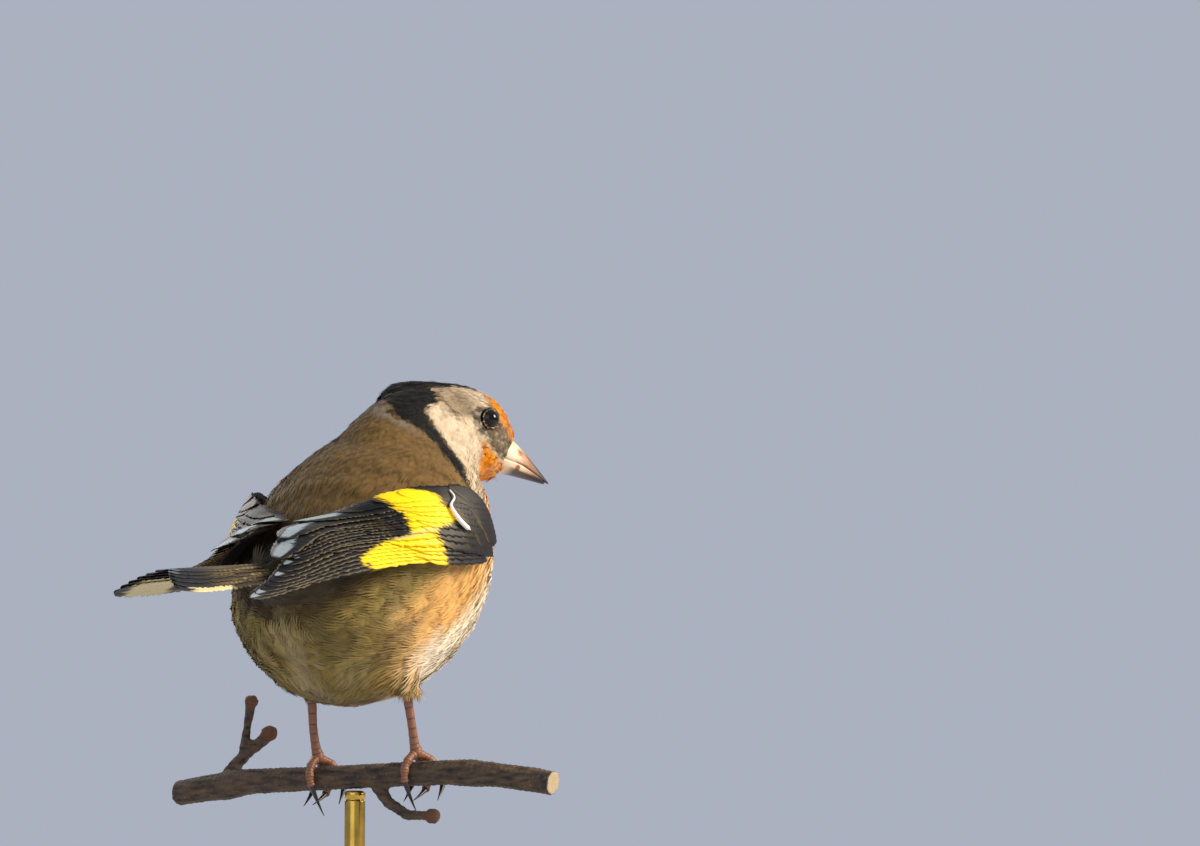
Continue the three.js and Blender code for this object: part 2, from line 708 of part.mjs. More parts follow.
for (const side of [-1, 1]) {
  const name = side > 0 ? "left" : "right";
  const y = side * FOOT_SPREAD;
  const wing = wingSolid(side).subtract(bodyRoom).subtract(tailRoom).subtract(midline);
  meshes.push(meshOf(`wing_${name}`, largest(wing, 0.06), COLOURS.black));
  const foot = footSolid(side);
  const shankRoom = tube(
    [vec([-3.6, y - side * 0.3, 30]), vec([-3.6, y - side * 0.3, 17.5]), vec([-3, y - side * 0.3, 14]), vec([-2.1, y, 9.5])],
    [1.9, 1.6, 1.3, 1.2],
    9,
    ACROSS,
  );
  const thigh = thighSolid(side).subtract(bodyRoom).subtract(shankRoom);
  meshes.push(meshOf(`thigh_${name}`, largest(thigh), COLOURS.pale));
  meshes.push(meshOf(`foot_${name}`, largest(foot.subtract(bodyRoom)), COLOURS.leg, 0.5));
  for (const toe of TOES) meshes.push(meshOf(`claw_${name}_${toe[0]}`, clawSolid(toe, y, side), COLOURS.claw, 0.35));
}
meshes.push(meshOf("perch", largest(perchSolid()), COLOURS.bark, 0.9));

// The bird and its twig are modelled round the twig's axis and then raised onto the stand.
const raised = new THREE.Group();
raised.position.set(0, 0, PERCH_HEIGHT);
raised.add(...meshes);

const goldfinch = new THREE.Group();
goldfinch.add(raised);
goldfinch.add(meshOf("stand_base", standBase(), COLOURS.wood, 0.5));
goldfinch.add(meshOf("stand_rod", standRod(), COLOURS.brass, 0.35, 0.9));

export default goldfinch;
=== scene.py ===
"""The looks of a perched European goldfinch: plumage, wings, tail, bill, eyes, feet, twig and stand."""

import math

import bmesh
import bpy
import numpy as np
from mathutils import Matrix, Vector


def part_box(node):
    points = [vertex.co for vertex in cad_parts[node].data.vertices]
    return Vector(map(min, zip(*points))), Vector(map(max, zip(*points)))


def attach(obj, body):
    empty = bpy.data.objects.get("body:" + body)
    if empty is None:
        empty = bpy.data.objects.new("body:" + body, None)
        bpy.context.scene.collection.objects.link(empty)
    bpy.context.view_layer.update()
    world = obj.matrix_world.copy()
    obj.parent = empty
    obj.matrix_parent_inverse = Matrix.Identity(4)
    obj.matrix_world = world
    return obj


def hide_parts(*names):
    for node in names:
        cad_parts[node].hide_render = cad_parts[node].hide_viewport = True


bl_info = {
    "name": "Perched Goldfinch",
    "version": (1, 0, 0),
    "blender": (4, 5, 0),
    "location": "3D View > Sidebar > Goldfinch",
    "description": "Builds the plumage, bill, feet, twig and stand of a perched goldfinch",
    "category": "Object",
}

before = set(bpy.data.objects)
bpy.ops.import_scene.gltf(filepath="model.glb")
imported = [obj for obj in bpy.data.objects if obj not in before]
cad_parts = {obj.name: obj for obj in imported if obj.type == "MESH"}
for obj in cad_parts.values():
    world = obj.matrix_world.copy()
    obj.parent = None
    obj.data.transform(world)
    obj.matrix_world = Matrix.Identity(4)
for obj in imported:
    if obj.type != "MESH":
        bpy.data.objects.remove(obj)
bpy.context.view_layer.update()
MM = 0.001
SEED = 7
PERCH = 95.0  # the twig's axis above the table, in millimetres, as all lengths below
TWIG_RADIUS = 2.5
FOOT_SPREAD = 11.5
TOE_TRACK = TWIG_RADIUS + 1.25


def linear(hex_colour):
    """An sRGB hex colour as the linear numbers that shaders take."""
    values = [int(hex_colour[i : i + 2], 16) / 255 for i in (0, 2, 4)]
    return tuple(v / 12.92 if v <= 0.04045 else ((v + 0.055) / 1.055) ** 2.4 for v in values)


def smooth(x, low, high):
    """0 below low, 1 above high and a soft step between, for numbers or arrays."""
    t = np.clip((np.asarray(x, float) - low) / (high - low), 0, 1)
    return t * t * (3 - 2 * t)


def mix(a, b, t):
    """a where t is 0, b where it is 1, and a straight blend between."""
    return a + (b - a) * t


def tinted(base, tone, amount):
    """Colours of many points, each turned towards a tone by its own amount."""
    return base + (tone - base) * np.clip(amount, 0, 1)[:, None]


def along(rows, x):
    """Smooth values between the rows of a table whose first column is the place along it."""
    table = np.array(rows, float)
    x = np.atleast_1d(np.asarray(x, float))
    last = len(table) - 1
    i = np.clip(np.searchsorted(table[:, 0], x, side="right") - 1, 0, last - 1)
    a, b, c, d = table[np.maximum(i - 1, 0)], table[i], table[i + 1], table[np.minimum(i + 2, last)]
    step = (c[:, 0] - b[:, 0])[:, None]
    t = np.clip((x - b[:, 0])[:, None] / step, 0, 1)
    slope_in = (c - a) / (c[:, :1] - a[:, :1]) * step
    slope_out = (d - b) / (d[:, :1] - b[:, :1]) * step
    t2, t3 = t * t, t * t * t
    value = (2 * t3 - 3 * t2 + 1) * b + (t3 - 2 * t2 + t) * slope_in
    value += (3 * t2 - 2 * t3) * c + (t3 - t2) * slope_out
    return value[:, 1:]


class Axes:
    """A frame at a point: forward, side (to the left) and up, in millimetres over the table."""

    def __init__(self, centre, turn, pitch):
        t, p = math.radians(turn), math.radians(pitch)
        self.centre = np.array(centre, float)
        self.forward = np.array([math.cos(p) * math.cos(t), math.cos(p) * math.sin(t), math.sin(p)])
        self.side = np.array([-math.sin(t), math.cos(t), 0.0])
        self.up = np.cross(self.forward, self.side)

    def place(self, f, s, u):
        """The point so far forward, to the left and up."""
        f, s, u = (np.asarray(v, float)[..., None] for v in (f, s, u))
        return self.centre + f * self.forward + s * self.side + u * self.up

    def read(self, points):
        """How far forward, to the left and up each point is."""
        q = points - self.centre
        return q @ self.forward, q @ self.side, q @ self.up


TORSO_LENGTH, TORSO_WIDTH, TORSO_BACK, TORSO_BELLY = 70.0, 49.0, 20.0, 29.5
HEAD_TURN = -34.0
TORSO = Axes([0.5, 1.8, 44.6 + PERCH], 0, 42)
HEAD = Axes([26.2, -2, 71 + PERCH], HEAD_TURN, -10)
BILL = Axes(HEAD.place(11.4, 0, -3.4), HEAD_TURN, -27)
TAIL = Axes([-27, 0, 37.6 + PERCH], 181.3, -7.6)
TAIL_LENGTH, TAIL_FORK = 46.0, 6.0
EYE_RADIUS = 1.9
EYES = {"right": HEAD.place(4.3, -7.4, 1.6), "left": HEAD.place(4.3, 7.4, 1.6)}


# Small makers of meshes and nodes
def mesh_object(name, points, faces):
    """A new smooth-shaded object whose points are given in millimetres."""
    mesh = bpy.data.meshes.new(name)
    mesh.from_pydata([tuple(p) for p in np.asarray(points) * MM], [], [tuple(f) for f in faces])
    mesh.update()
    mesh.polygons.foreach_set("use_smooth", [True] * len(mesh.polygons))
    piece = bpy.data.objects.new(name, mesh)
    bpy.context.scene.collection.objects.link(piece)
    return piece


def points_of(piece):
    """The piece's points in millimetres."""
    flat = np.empty(len(piece.data.vertices) * 3, np.float32)
    piece.data.vertices.foreach_get("co", flat)
    return flat.reshape(-1, 3).astype(float) / MM


def move_points(piece, points):
    """Puts the piece's points at these places, in millimetres."""
    piece.data.vertices.foreach_set("co", (points * MM).astype(np.float32).ravel())
    piece.data.update()


def store(piece, name, values, kind="FLOAT"):
    """Keeps a value for each point of the mesh, for its material or its Geometry Nodes."""
    layer = piece.data.attributes.new(name, kind, "POINT")
    values = np.asarray(values, np.float32)
    if kind == "FLOAT_COLOR":
        values = np.concatenate([values, np.ones((len(values), 1), np.float32)], 1)
    key = {"FLOAT": "value", "FLOAT_VECTOR": "vector", "FLOAT_COLOR": "color"}[kind]
    layer.data.foreach_set(key, values.ravel())


def store_uv(piece, name, values):
    """A UV map from one pair of numbers for each point."""
    layer = piece.data.uv_layers.new(name=name)
    corners = np.empty(len(piece.data.loops), np.int32)
    piece.data.loops.foreach_get("vertex_index", corners)
    layer.data.foreach_set("uv", np.asarray(values, np.float32)[corners].ravel())


def joined(name, parts):
    """One object from several (points, faces, values) parts, each value a dictionary of arrays."""
    points, faces, start = [], [], 0
    values = {key: [] for key in parts[0][2]}
    for part_points, part_faces, part_values in parts:
        points.append(part_points)
        faces.extend([tuple(int(i) + start for i in f) for f in part_faces])
        for key in values:
            values[key].append(part_values[key])
        start += len(part_points)
    piece = mesh_object(name, np.concatenate(points), faces)
    return piece, {key: np.concatenate(rows) for key, rows in values.items()}


def outwards(piece):
    """Doubles merged and every face turned outwards on a closed shape."""
    work = bmesh.new()
    work.from_mesh(piece.data)
    bmesh.ops.remove_doubles(work, verts=work.verts, dist=1e-7)
    bmesh.ops.recalc_face_normals(work, faces=work.faces)
    work.to_mesh(piece.data)
    work.free()


def copied_nodes(name, nodes, grown=0.0):
    """One object from copies of CAD nodes, each grown by so many millimetres so that they overlap."""
    work = bmesh.new()
    for source_name in nodes:
        source = bmesh.new()
        source.from_mesh(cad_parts[source_name].data)
        bmesh.ops.remove_doubles(source, verts=source.verts, dist=2e-6)
        source.normal_update()
        for vert in source.verts:
            vert.co += vert.normal * grown * MM
        copy = bpy.data.meshes.new(source_name + "_copy")
        source.to_mesh(copy)
        source.free()
        work.from_mesh(copy)
    mesh = bpy.data.meshes.new(name)
    work.to_mesh(mesh)
    work.free()
    piece = bpy.data.objects.new(name, mesh)
    bpy.context.scene.collection.objects.link(piece)
    return piece


def rounded(piece, voxel, rounds):
    """The piece made one even closed surface, with its edges relaxed."""
    remesh = piece.modifiers.new("voxels", "REMESH")
    remesh.mode = "VOXEL"
    remesh.voxel_size = voxel * MM
    relax = piece.modifiers.new("relax", "SMOOTH")
    relax.factor = 0.5
    relax.iterations = rounds
    finish_modifiers(piece)


def finish_modifiers(piece):
    """The modifiers' result as the plain mesh."""
    graph = bpy.context.evaluated_depsgraph_get()
    made = bpy.data.meshes.new_from_object(piece.evaluated_get(graph), depsgraph=graph)
    made.name = piece.name
    piece.modifiers.clear()
    piece.data = made


def grid_faces(rows, columns, closed=False, start=0, flip=False):
    """Quads between rows of points, which close round each row if asked."""
    faces = []
    for i in range(rows - 1):
        for j in range(columns if closed else columns - 1):
            k = (j + 1) % columns
            quad = [i * columns + j, i * columns + k, (i + 1) * columns + k, (i + 1) * columns + j]
            faces.append([start + q for q in (quad[::-1] if flip else quad)])
    return faces


def shell_faces(rows, columns):
    """Faces of a thin closed sheet: a grid of points on top, one below, and the rim between them."""
    below = rows * columns
    faces = grid_faces(rows, columns) + grid_faces(rows, columns, start=below, flip=True)
    rim = [(i * columns, (i + 1) * columns) for i in range(rows - 1)]
    rim += [((rows - 1) * columns + j, (rows - 1) * columns + j + 1) for j in range(columns - 1)]
    rim += [((i + 1) * columns - 1 + columns, (i + 1) * columns - 1) for i in range(rows - 1)]
    rim += [(j + 1, j) for j in range(columns - 1)]
    return faces + [[b, below + b, below + a, a] for a, b in rim]


def tube_part(centres, radii, sides, reference, squash=1.0):
    """Points and faces of a closed tube along a line of points, with a fan at each end."""
    centres, radii = np.asarray(centres, float), np.asarray(radii, float)
    tangent = np.gradient(centres, axis=0)
    tangent /= np.linalg.norm(tangent, axis=1, keepdims=True)
    across = np.cross(tangent, reference)
    across /= np.linalg.norm(across, axis=1, keepdims=True)
    over = np.cross(across, tangent)
    angle = np.linspace(0, 2 * math.pi, sides, endpoint=False)
    ring = across[:, None] * np.cos(angle)[None, :, None] * squash
    ring = ring + over[:, None] * np.sin(angle)[None, :, None]
    points = (centres[:, None] + ring * radii[:, None, None]).reshape(-1, 3)
    faces = grid_faces(len(centres), sides, closed=True, flip=True)
    points = np.concatenate([points, centres[:1], centres[-1:]])
    first, last, top = len(points) - 2, len(points) - 1, (len(centres) - 1) * sides
    for j in range(sides):
        k = (j + 1) % sides
        faces.append([j, k, first])
        faces.append([top + k, top + j, last])
    return points, faces


def new_material(name, roughness):
    """A material with its node tree and its shader."""
    material = bpy.data.materials.new(name)
    material.use_nodes = True
    shader = material.node_tree.nodes["Principled BSDF"]
    shader.inputs["Roughness"].default_value = roughness
    return material, material.node_tree, shader


def node(tree, kind, inputs=None, output=0, **settings):
    """Adds a node with its settings; an input is a value or another node's socket. Returns one output."""
    made = tree.nodes.new(kind)
    for key, value in settings.items():
        setattr(made, key, value)
    for key, value in (inputs or {}).items():
        if isinstance(value, bpy.types.NodeSocket):
            tree.links.new(value, made.inputs[key])
        else:
            made.inputs[key].default_value = value
    return made.outputs[output] if output is not None else made


def bumped(tree, shader, height, strength, distance):
    """Height on the shader's normal, its distance in millimetres."""
    given = {"Height": height, "Strength": strength, "Distance": distance * MM}
    bump = node(tree, "ShaderNodeBump", given, "Normal")
    tree.links.new(bump, shader.inputs["Normal"])


def speckle(tree, per_mm, detail, stretch=(1, 1, 1)):
    """Noise with so many grains to a millimetre over Object coordinates."""
    where = node(tree, "ShaderNodeTexCoord", output="Object")
    scaled = node(tree, "ShaderNodeMapping", {"Vector": where, "Scale": tuple(s / MM for s in stretch)})
    return node(tree, "ShaderNodeTexNoise", {"Vector": scaled, "Scale": per_mm, "Detail": detail})


def ramp(tree, factor, stops):
    """A colour ramp of (place, colour) stops."""
    made = node(tree, "ShaderNodeValToRGB", {"Fac": factor}, None)
    elements = made.color_ramp.elements
    while len(elements) < len(stops):
        elements.new(0.5)
    for element, (place, tint) in zip(elements, stops):
        element.position = place
        element.color = (*tint, 1)
    return made.outputs["Color"]


def blend(tree, factor, a, b, how="MIX"):
    """The second colour over the first by a factor, each a value or a node's socket."""
    made = node(tree, "ShaderNodeMix", None, None, data_type="RGBA", blend_type=how)
    for key, value in ((0, factor), (6, a), (7, b)):
        if isinstance(value, bpy.types.NodeSocket):
            tree.links.new(value, made.inputs[key])
        else:
            made.inputs[key].default_value = value if key == 0 else (*value, 1)
    return made.outputs[2]


def attribute(tree, name, output="Color"):
    """One of the mesh's own attributes as a node's socket."""
    return node(tree, "ShaderNodeAttribute", None, output, attribute_name=name)


# Sizes and colours that a user may change
def colour(name, description, hex_colour):
    """A colour setting whose default is given in sRGB hex."""
    return bpy.props.FloatVectorProperty(
        name=name,
        description=description,
        default=linear(hex_colour),
        size=3,
        min=0,
        max=1,
        subtype="COLOR",
    )


def length(name, description, millimetres):
    """A length setting whose default is given in millimetres."""
    return bpy.props.FloatProperty(
        name=name, description=description, default=millimetres * MM, min=0, unit="LENGTH", precision=5
    )


class PlumageSettings(bpy.types.PropertyGroup):
    """The body's feathers: how deep and long they lie, and the bird's colours."""

    depth: length("Depth", "How far the skin lies under the tips of the body feathers", 1.3)
    face_length: length("Face length", "Length of the smallest feathers round the bill and eyes", 1.5)
    body_length: length("Body length", "Length of the feathers on the breast and back", 4.1)
    belly_length: length("Belly length", "Length of the loose feathers of the belly and vent", 5.2)
    mantle: colour("Mantle", "Warm brown of the back", "705730")
    rump: colour("Rump", "Dark brown over the rump", "41382A")
    neck_side: colour("Neck side", "Buff brown at the sides of the neck", "896B3A")
    breast: colour("Breast", "Orange buff of the breast sides", "D6A661")
    belly: colour("Belly", "Warm white of the belly", "EFE2C8")
    # Olive buff of the flanks, darkened as painted shade; the whole body starts from this colour.
    flank: colour("Flank", "Olive buff of the flanks", "8A763F")
    cheek: colour("Cheek", "Cream of the cheek", "CFBCA0")
    crown: colour("Crown", "Black of the crown and the collar", "100E0D")
    nape: colour("Nape", "Grey white patch on the hind neck", "7A756B")
    ear: colour("Ear", "Grey olive behind the eye", "6C5B40")
    mask: colour("Mask", "Orange red round the bill", "F3960A")
    lores: colour("Lores", "Dark grey brown between eye and bill", "55452E")


class WingSettings(bpy.types.PropertyGroup):
    """Feathers of the wings and the tail."""

    black: colour("Black", "Black of the flight feathers", "0C0C0E")
    shoulder: colour("Shoulder", "Brown black of the small coverts", "1A1512")
    fringe: colour("Fringe", "Olive brown edge of the flight feathers", "66552C")
    bar: colour("Bar", "Yellow of the wing bar", "FFD400")
    tip: colour("Tip", "Grey white of the feather tips", "98A4A6")
    tail_brown: colour("Tail brown", "Golden brown on top of the tail", "6B5730")
    # The cream patches' colour, also used for the painted golden highlights on the tail's streaks.
    tail_cream: colour("Tail cream", "Cream patches under the tail", "DCCB98")


class HeadSettings(bpy.types.PropertyGroup):
    """Bill and eyes."""

    ivory: colour("Ivory", "Pinkish ivory of the bill", "DCC6A8")
    horn: colour("Horn", "Brown patch on the upper bill", "96581E")
    dark: colour("Dark horn", "Tip and lower edge of the bill", "33262A")
    iris: colour("Iris", "Very dark brown of the eye", "1A0E0A")
    ring: colour("Eye ring", "Pale beads round the eye", "BFA068")


class LegSettings(bpy.types.PropertyGroup):
    """Feet and claws."""

    skin: colour("Skin", "Pinkish brown of the legs", "7D4F34")
    scale_edge: colour("Scale edge", "Darker brown between the scales", "38221A")
    claw: colour("Claw", "Dark horn of the claws", "2A211E")


class StandSettings(bpy.types.PropertyGroup):
    """Twig and stand."""

    bark: colour("Bark", "Grey brown bark", "4A3A29")
    bark_dark: colour("Dark bark", "Furrows of the bark", "1E1716")
    bud: colour("Bud", "Brown bud scales", "5B3A24")
    wood: colour("Wood", "Oiled walnut of the base", "5A3822")
    wood_dark: colour("Wood pores", "Dark pores of the walnut", "2B180E")
    brass: colour("Brass", "Brushed brass of the rod", "C9A24A")


class StageSettings(bpy.types.PropertyGroup):
    """Floor, light and camera."""

    floor: colour("Floor", "Pale floor", "C6CBD3")
    key_power: bpy.props.FloatProperty(
        name="Key light",
        description="Power of the main soft light",
        default=13.0,
        min=0,
        unit="POWER",
    )
    distance: bpy.props.FloatProperty(
        name="Distance", description="Camera to subject", default=0.9, min=0.3, unit="LENGTH"
    )


SETTINGS = {
    "goldfinch_plumage": PlumageSettings,
    "goldfinch_wing": WingSettings,
    "goldfinch_head": HeadSettings,
    "goldfinch_leg": LegSettings,
    "goldfinch_stand": StandSettings,
    "goldfinch_stage": StageSettings,
}


# Where each marking lies. Heights are in the head's own frame, and each row is (height, forward).
COLLAR_FRONT = [(-16, -2.6), (-9.7, -5), (-5.9, -7.9), (-3.3, -9.5), (-0.7, -10.8)]
COLLAR_FRONT += [(2.3, -7.5), (4.7, -7.5), (9, -8.5)]
COLLAR_BACK = [(-16, -4.8), (-12.6, -6.5), (-10.9, -7.8), (-7.6, -10), (-4.7, -13.7)]
COLLAR_BACK += [(-3.2, -16.8), (-0.3, -17.5), (3, -19)]
FOREHEAD = [(-1, 9.6), (-0.4, 9), (2, 6), (4, 4.6), (7.6, 3.2), (10, 2.6)]
CHIN_BACK = [(-16, 2), (-11.7, 3.4), (-8.6, 5.6), (-6.6, 5.4), (-5, 4.6), (-3, 3.7), (-2, 4.2)]


def edge(rows, height):
    """The forward place of a marking's edge at each height."""
    return along(rows, height)[:, 0]


def ripple(points, size, seed):
    """A repeatable wavering from -1 to 1 that follows no grid, for the edges of markings."""
    rng = np.random.default_rng(seed)
    value = np.zeros(len(points))
    for k in range(5):
        direction = rng.normal(size=3)
        direction /= np.linalg.norm(direction)
        turns = 2 * math.pi / (size * (0.7 + 0.3 * k))
        value += np.sin(points @ direction * turns + rng.uniform(0, 6.3))
    return value / 3.2


def tones(settings):
    """A group's colours by name."""
    values = {key: getattr(settings, key) for key in type(settings).__annotations__}
    return {key: np.array(value) for key, value in values.items() if not isinstance(value, float)}


def plumage_colour(points, settings):
    """The body's markings at each point, by its place forward, to the left and up on torso and head."""
    tone = tones(settings)
    f, s, u = TORSO.read(points)
    head_f, head_s, head_u = HEAD.read(points)
    n = len(points)
    waver, broad = ripple(points, 5, 1), ripple(points, 12, 2)

    def paint(base, key, amount):
        return tinted(base, tone[key], amount)

    side = np.abs(s)
    made = np.tile(tone["flank"], (n, 1))
    # Back: warm brown, darker to the rump; the underside runs from buff to white. The white stops short
    # of the vent, so the rear underside keeps the colour of the flanks, darkened as painted shade.
    level = u - 2.5 + 0.8 * waver
    made = paint(made, "breast", smooth(f, -28, -13) * smooth(-level, 2, 7))
    white = smooth(-u + 0.6 * broad, 10.5, 17) * smooth(f, -24, -13)
    white = white + smooth(11 - side, 0, 7) * smooth(-u, 6, 14) * smooth(f, -20, -8)
    made = paint(made, "belly", white + 0.1 * broad)
    # Patchy painted shade: the rump's dark brown laid over the rear of the body, less over the white.
    rear_painted_shade = smooth(ripple(points, 9, 5), 0.1, 0.7) * smooth(-f, 4, 14) * (1 - 0.7 * white)
    made = paint(made, "rump", 0.4 * rear_painted_shade)
    vent = smooth(-f, 24, 31) * smooth(-points[:, 2] + PERCH + 34, 0, 6)
    made = paint(made, "belly", 0.1 * vent * smooth(5 - side, 0, 4))
    made = paint(made, "neck_side", smooth(level, 0, 4) * smooth(f, -2, 12))
    made = paint(made, "mantle", smooth(level, 1, 6))
    made = paint(made, "rump", smooth(level, 1, 6) * smooth(-f + 1.5 * broad, 2, 22))
    # Head and neck: cream cheek, grey ear, black collar, pale patch behind it and black crown.
    on_head = smooth(points[:, 2], PERCH + 52, PERCH + 56) * smooth(head_f + 0.3 * head_u, -26, -18)
    front = head_f - edge(COLLAR_FRONT, head_u) + 0.5 * waver
    back = head_f - edge(COLLAR_BACK, head_u) + 0.6 * waver
    throat = smooth(points[:, 2], PERCH + 44, PERCH + 52)
    above_breast = smooth(head_f + 1.1 * head_u, -26, -20)
    made = paint(made, "cheek", throat * smooth(front, -0.5, 1.5) * above_breast)
    off_ear = np.hypot((head_f + 3.2) / 1.4, head_u - 3.2 + 0.18 * head_f)
    ear = smooth(4.6 - off_ear, 0, 2.4) * smooth(np.abs(head_s), 4, 6)
    made = paint(made, "ear", ear * (0.72 + 0.3 * waver))
    clouds = smooth(ripple(points, 2.6, 6), 0, 0.9)
    made = paint(made, "ear", 0.28 * throat * smooth(front, 0, 1) * clouds)
    collar = smooth(0.7 - front, 0, 0.9) * smooth(back + 0.6, 0, 1.0)
    made = paint(made, "crown", collar * smooth(head_u, -17, -13))
    patch = smooth(-back, 0.3, 1.6) * smooth(back, -5.5, -2.5)
    patch *= smooth(head_u + 1.5 * waver, -8, -4) * smooth(4 - head_u, 0, 2)
    made = paint(made, "nape", patch * smooth(np.abs(head_s), 3, 7) * 0.6)
    crown_line = smooth(4.9 - np.abs(head_s) + 0.35 * waver, 0, 0.7) * smooth(head_u, 3.5, 5)
    crown_line *= smooth(-head_f, -3.6, -2.6) * on_head
    made = paint(made, "crown", crown_line * smooth(head_f, -19, -17))
    # Face: red strip over the forehead, dusky lores with pale flecks, red chin with dark flecks.
    strip = head_f - edge(FOREHEAD, head_u) + 0.35 * waver
    behind_strip = smooth(strip + 1.7, 0, 1.2) * smooth(head_u, -2, 0) * smooth(head_f, 3, 6)
    made = paint(made, "ear", 0.7 * behind_strip)
    red = smooth(strip - 0.55, 0, 0.6) * smooth(head_u, -1.2, -0.4)
    fleck = np.random.default_rng(SEED).random(n)
    made = paint(made, "mask", red * (0.75 + 0.25 * waver))
    below = -2.7 - 0.45 * (head_f - 3.9)
    lores = smooth(head_f, 4.8, 6) * smooth(head_u - below + 0.3 * waver, 0, 0.7)
    lores *= (1 - red) * smooth(2.2 - head_u, 0, 1.2)
    made = paint(made, "lores", lores * (0.8 + 0.25 * waver))
    made = paint(made, "crown", 0.7 * lores * (fleck > 0.8))
    made = paint(made, "cheek", 0.35 * lores * ((fleck > 0.2) & (fleck < 0.3)))
    root = np.linalg.norm(points - BILL.place(0.5, 0, 0.5), axis=1)
    made = paint(made, "crown", 0.6 * lores * smooth(4.6 - root, 0, 1.6))
    chin = smooth(head_f - edge(CHIN_BACK, head_u) + 0.4 * waver, 0, 0.8)
    chin *= smooth(below - head_u, -0.1, 0.6)
    chin *= smooth(head_u, -16.6, -14.5) * (points[:, 2] > PERCH + 50)
    made = paint(made, "mask", chin * (0.8 + 0.3 * waver))
    made = paint(made, "crown", 0.85 * (fleck < 0.13) * np.maximum(chin, 0.6 * red))
    for centre in EYES.values():
        away = np.linalg.norm(points - centre, axis=1)
        behind = smooth(-(head_f - 4.3) - 0.6 * (head_u - 1.6), -0.6, 1.4)
        smudge = smooth(3.7 - away + 0.6 * waver, 0, 0.7) * behind
        made = paint(made, "crown", smudge * (0.9 - 0.6 * (fleck > 0.75)))
        made = paint(made, "crown", smooth(2.6 - away, 0, 0.4))
    return made


# The line that the feathers follow: (step, x, y, height over the twig) from the crown to the tail.
SPINE = [
    (0, 37.5, -9.6, 66.0),
    (1, 26.2, -2.0, 71.0),
    (2, 16.0, 1.0, 63.0),
    (3, 6.0, 1.4, 50.0),
    (4, -6.0, 1.6, 41.5),
    (5, -17.0, 1.0, 37.5),
    (6, -27.0, 0.0, 36.5),
    (7, -44.0, 0.0, 34.0),
]


def lie_direction(points, normals):
    """Which way the feathers lie: from the bill along the neck and body to the tail."""
    steps = np.linspace(0, 7, 57)
    line = along(SPINE, steps) + [0, 0, PERCH]
    flow = np.gradient(line, axis=0)
    flow /= np.linalg.norm(flow, axis=1, keepdims=True)
    weight = 1 / (np.linalg.norm(points[:, None] - line[None], axis=2) ** 6 + 1e-6)
    direction = (weight @ flow) / weight.sum(1, keepdims=True)
    thigh = smooth(PERCH + 23 - points[:, 2], 0, 5)[:, None]
    direction = mix(direction, np.array([-0.15, 0, -1.0]), thigh)
    direction -= normals * np.sum(direction * normals, 1, keepdims=True)
    return direction / (np.linalg.norm(direction, axis=1, keepdims=True) + 1e-9)


def normals_of(piece):
    """The direction in which each of the piece's points faces."""
    flat = np.empty(len(piece.data.vertices) * 3, np.float32)
    piece.data.vertices.foreach_get("normal", flat)
    return flat.reshape(-1, 3).astype(float)


# The folded wing's sheet: (place along it, then x, y and height over the twig at its lower edge, middle
# and upper edge).
WING_SHEET = [
    (-4, 14, -18.5, 43.5, 12, -19.5, 48, 7.5, -17.5, 52),
    (0, 11, -20.5, 42, 8.5, -21.5, 47.5, 3, -19, 52),
    (20, -8, -23, 39.5, -13, -20.5, 46.5, -17, -14.5, 51),
    (38, -25, -18.5, 35.5, -28.5, -12.5, 42, -31, -3.5, 45.6),
    (54, -39, -13, 32, -41, -9.5, 35, -42, -5.5, 37.5),
    (72, -52, -9.6, 28, -53, -9, 29.4, -53.5, -8, 31),
]
# How full the torso's section is, how it narrows to its ends, and how the left wing's tip settles.
FULLNESS, TAPER, RUMP_TAPER = 0.88, 0.26, 0.28
LEFT_WING_UP, LEFT_WING_IN = 4.5, 1.2
VANE_THICKNESS, BARB_DEPTH = 0.16, 0.05


def sheet_point(s, t, side):
    """A point of the folded wing: s runs from its bend to its tip, t from its lower to its upper edge."""
    row = along(WING_SHEET, s)
    t = np.asarray(t, float)[:, None]
    point = row[:, 0:3] * 2 * (t - 0.5) * (t - 1) - row[:, 3:6] * 4 * t * (t - 1)
    point = point + row[:, 6:9] * 2 * t * (t - 0.5)
    point = point + [0, 0, PERCH]
    f, y, u = TORSO.read(point)
    if side > 0:
        y = y + 2 * TORSO.centre[1]
    ends = np.maximum(0, f / (TORSO_LENGTH / 2))
    breast_width = 1 - TAPER * ends**1.5
    back = TORSO_BACK * (1 - RUMP_TAPER * np.maximum(0, -f / (TORSO_LENGTH / 2)) ** 1.2)
    depth = np.where(u > 0, back, TORSO_BELLY)
    level = np.ones(len(f))
    for _ in range(6):
        girth = np.hypot(y / (breast_width * TORSO_WIDTH) / 0.5, u / depth) / level
        level = level * np.sqrt((f / level / (TORSO_LENGTH / 2)) ** 2 + girth ** (2 / FULLNESS))
    local = np.stack([f, y, u], 1)
    reach = np.linalg.norm(local, axis=1)
    wanted = 1 / level + mix(1.3, 1, smooth(s, 3, 16)) / reach
    scale = np.where(wanted > 1, wanted, mix(1, wanted, 1 - smooth(s, 26, 42)))
    f, y, u = (local * scale[:, None]).T
    drawn = TORSO.place(f, y, u)
    if side < 0:
        return drawn
    settled = smooth(s, 30, 72)
    drawn[:, 1] = 2 * TORSO.centre[1] - drawn[:, 1] - LEFT_WING_IN * settled
    drawn[:, 2] += LEFT_WING_UP * settled
    return drawn


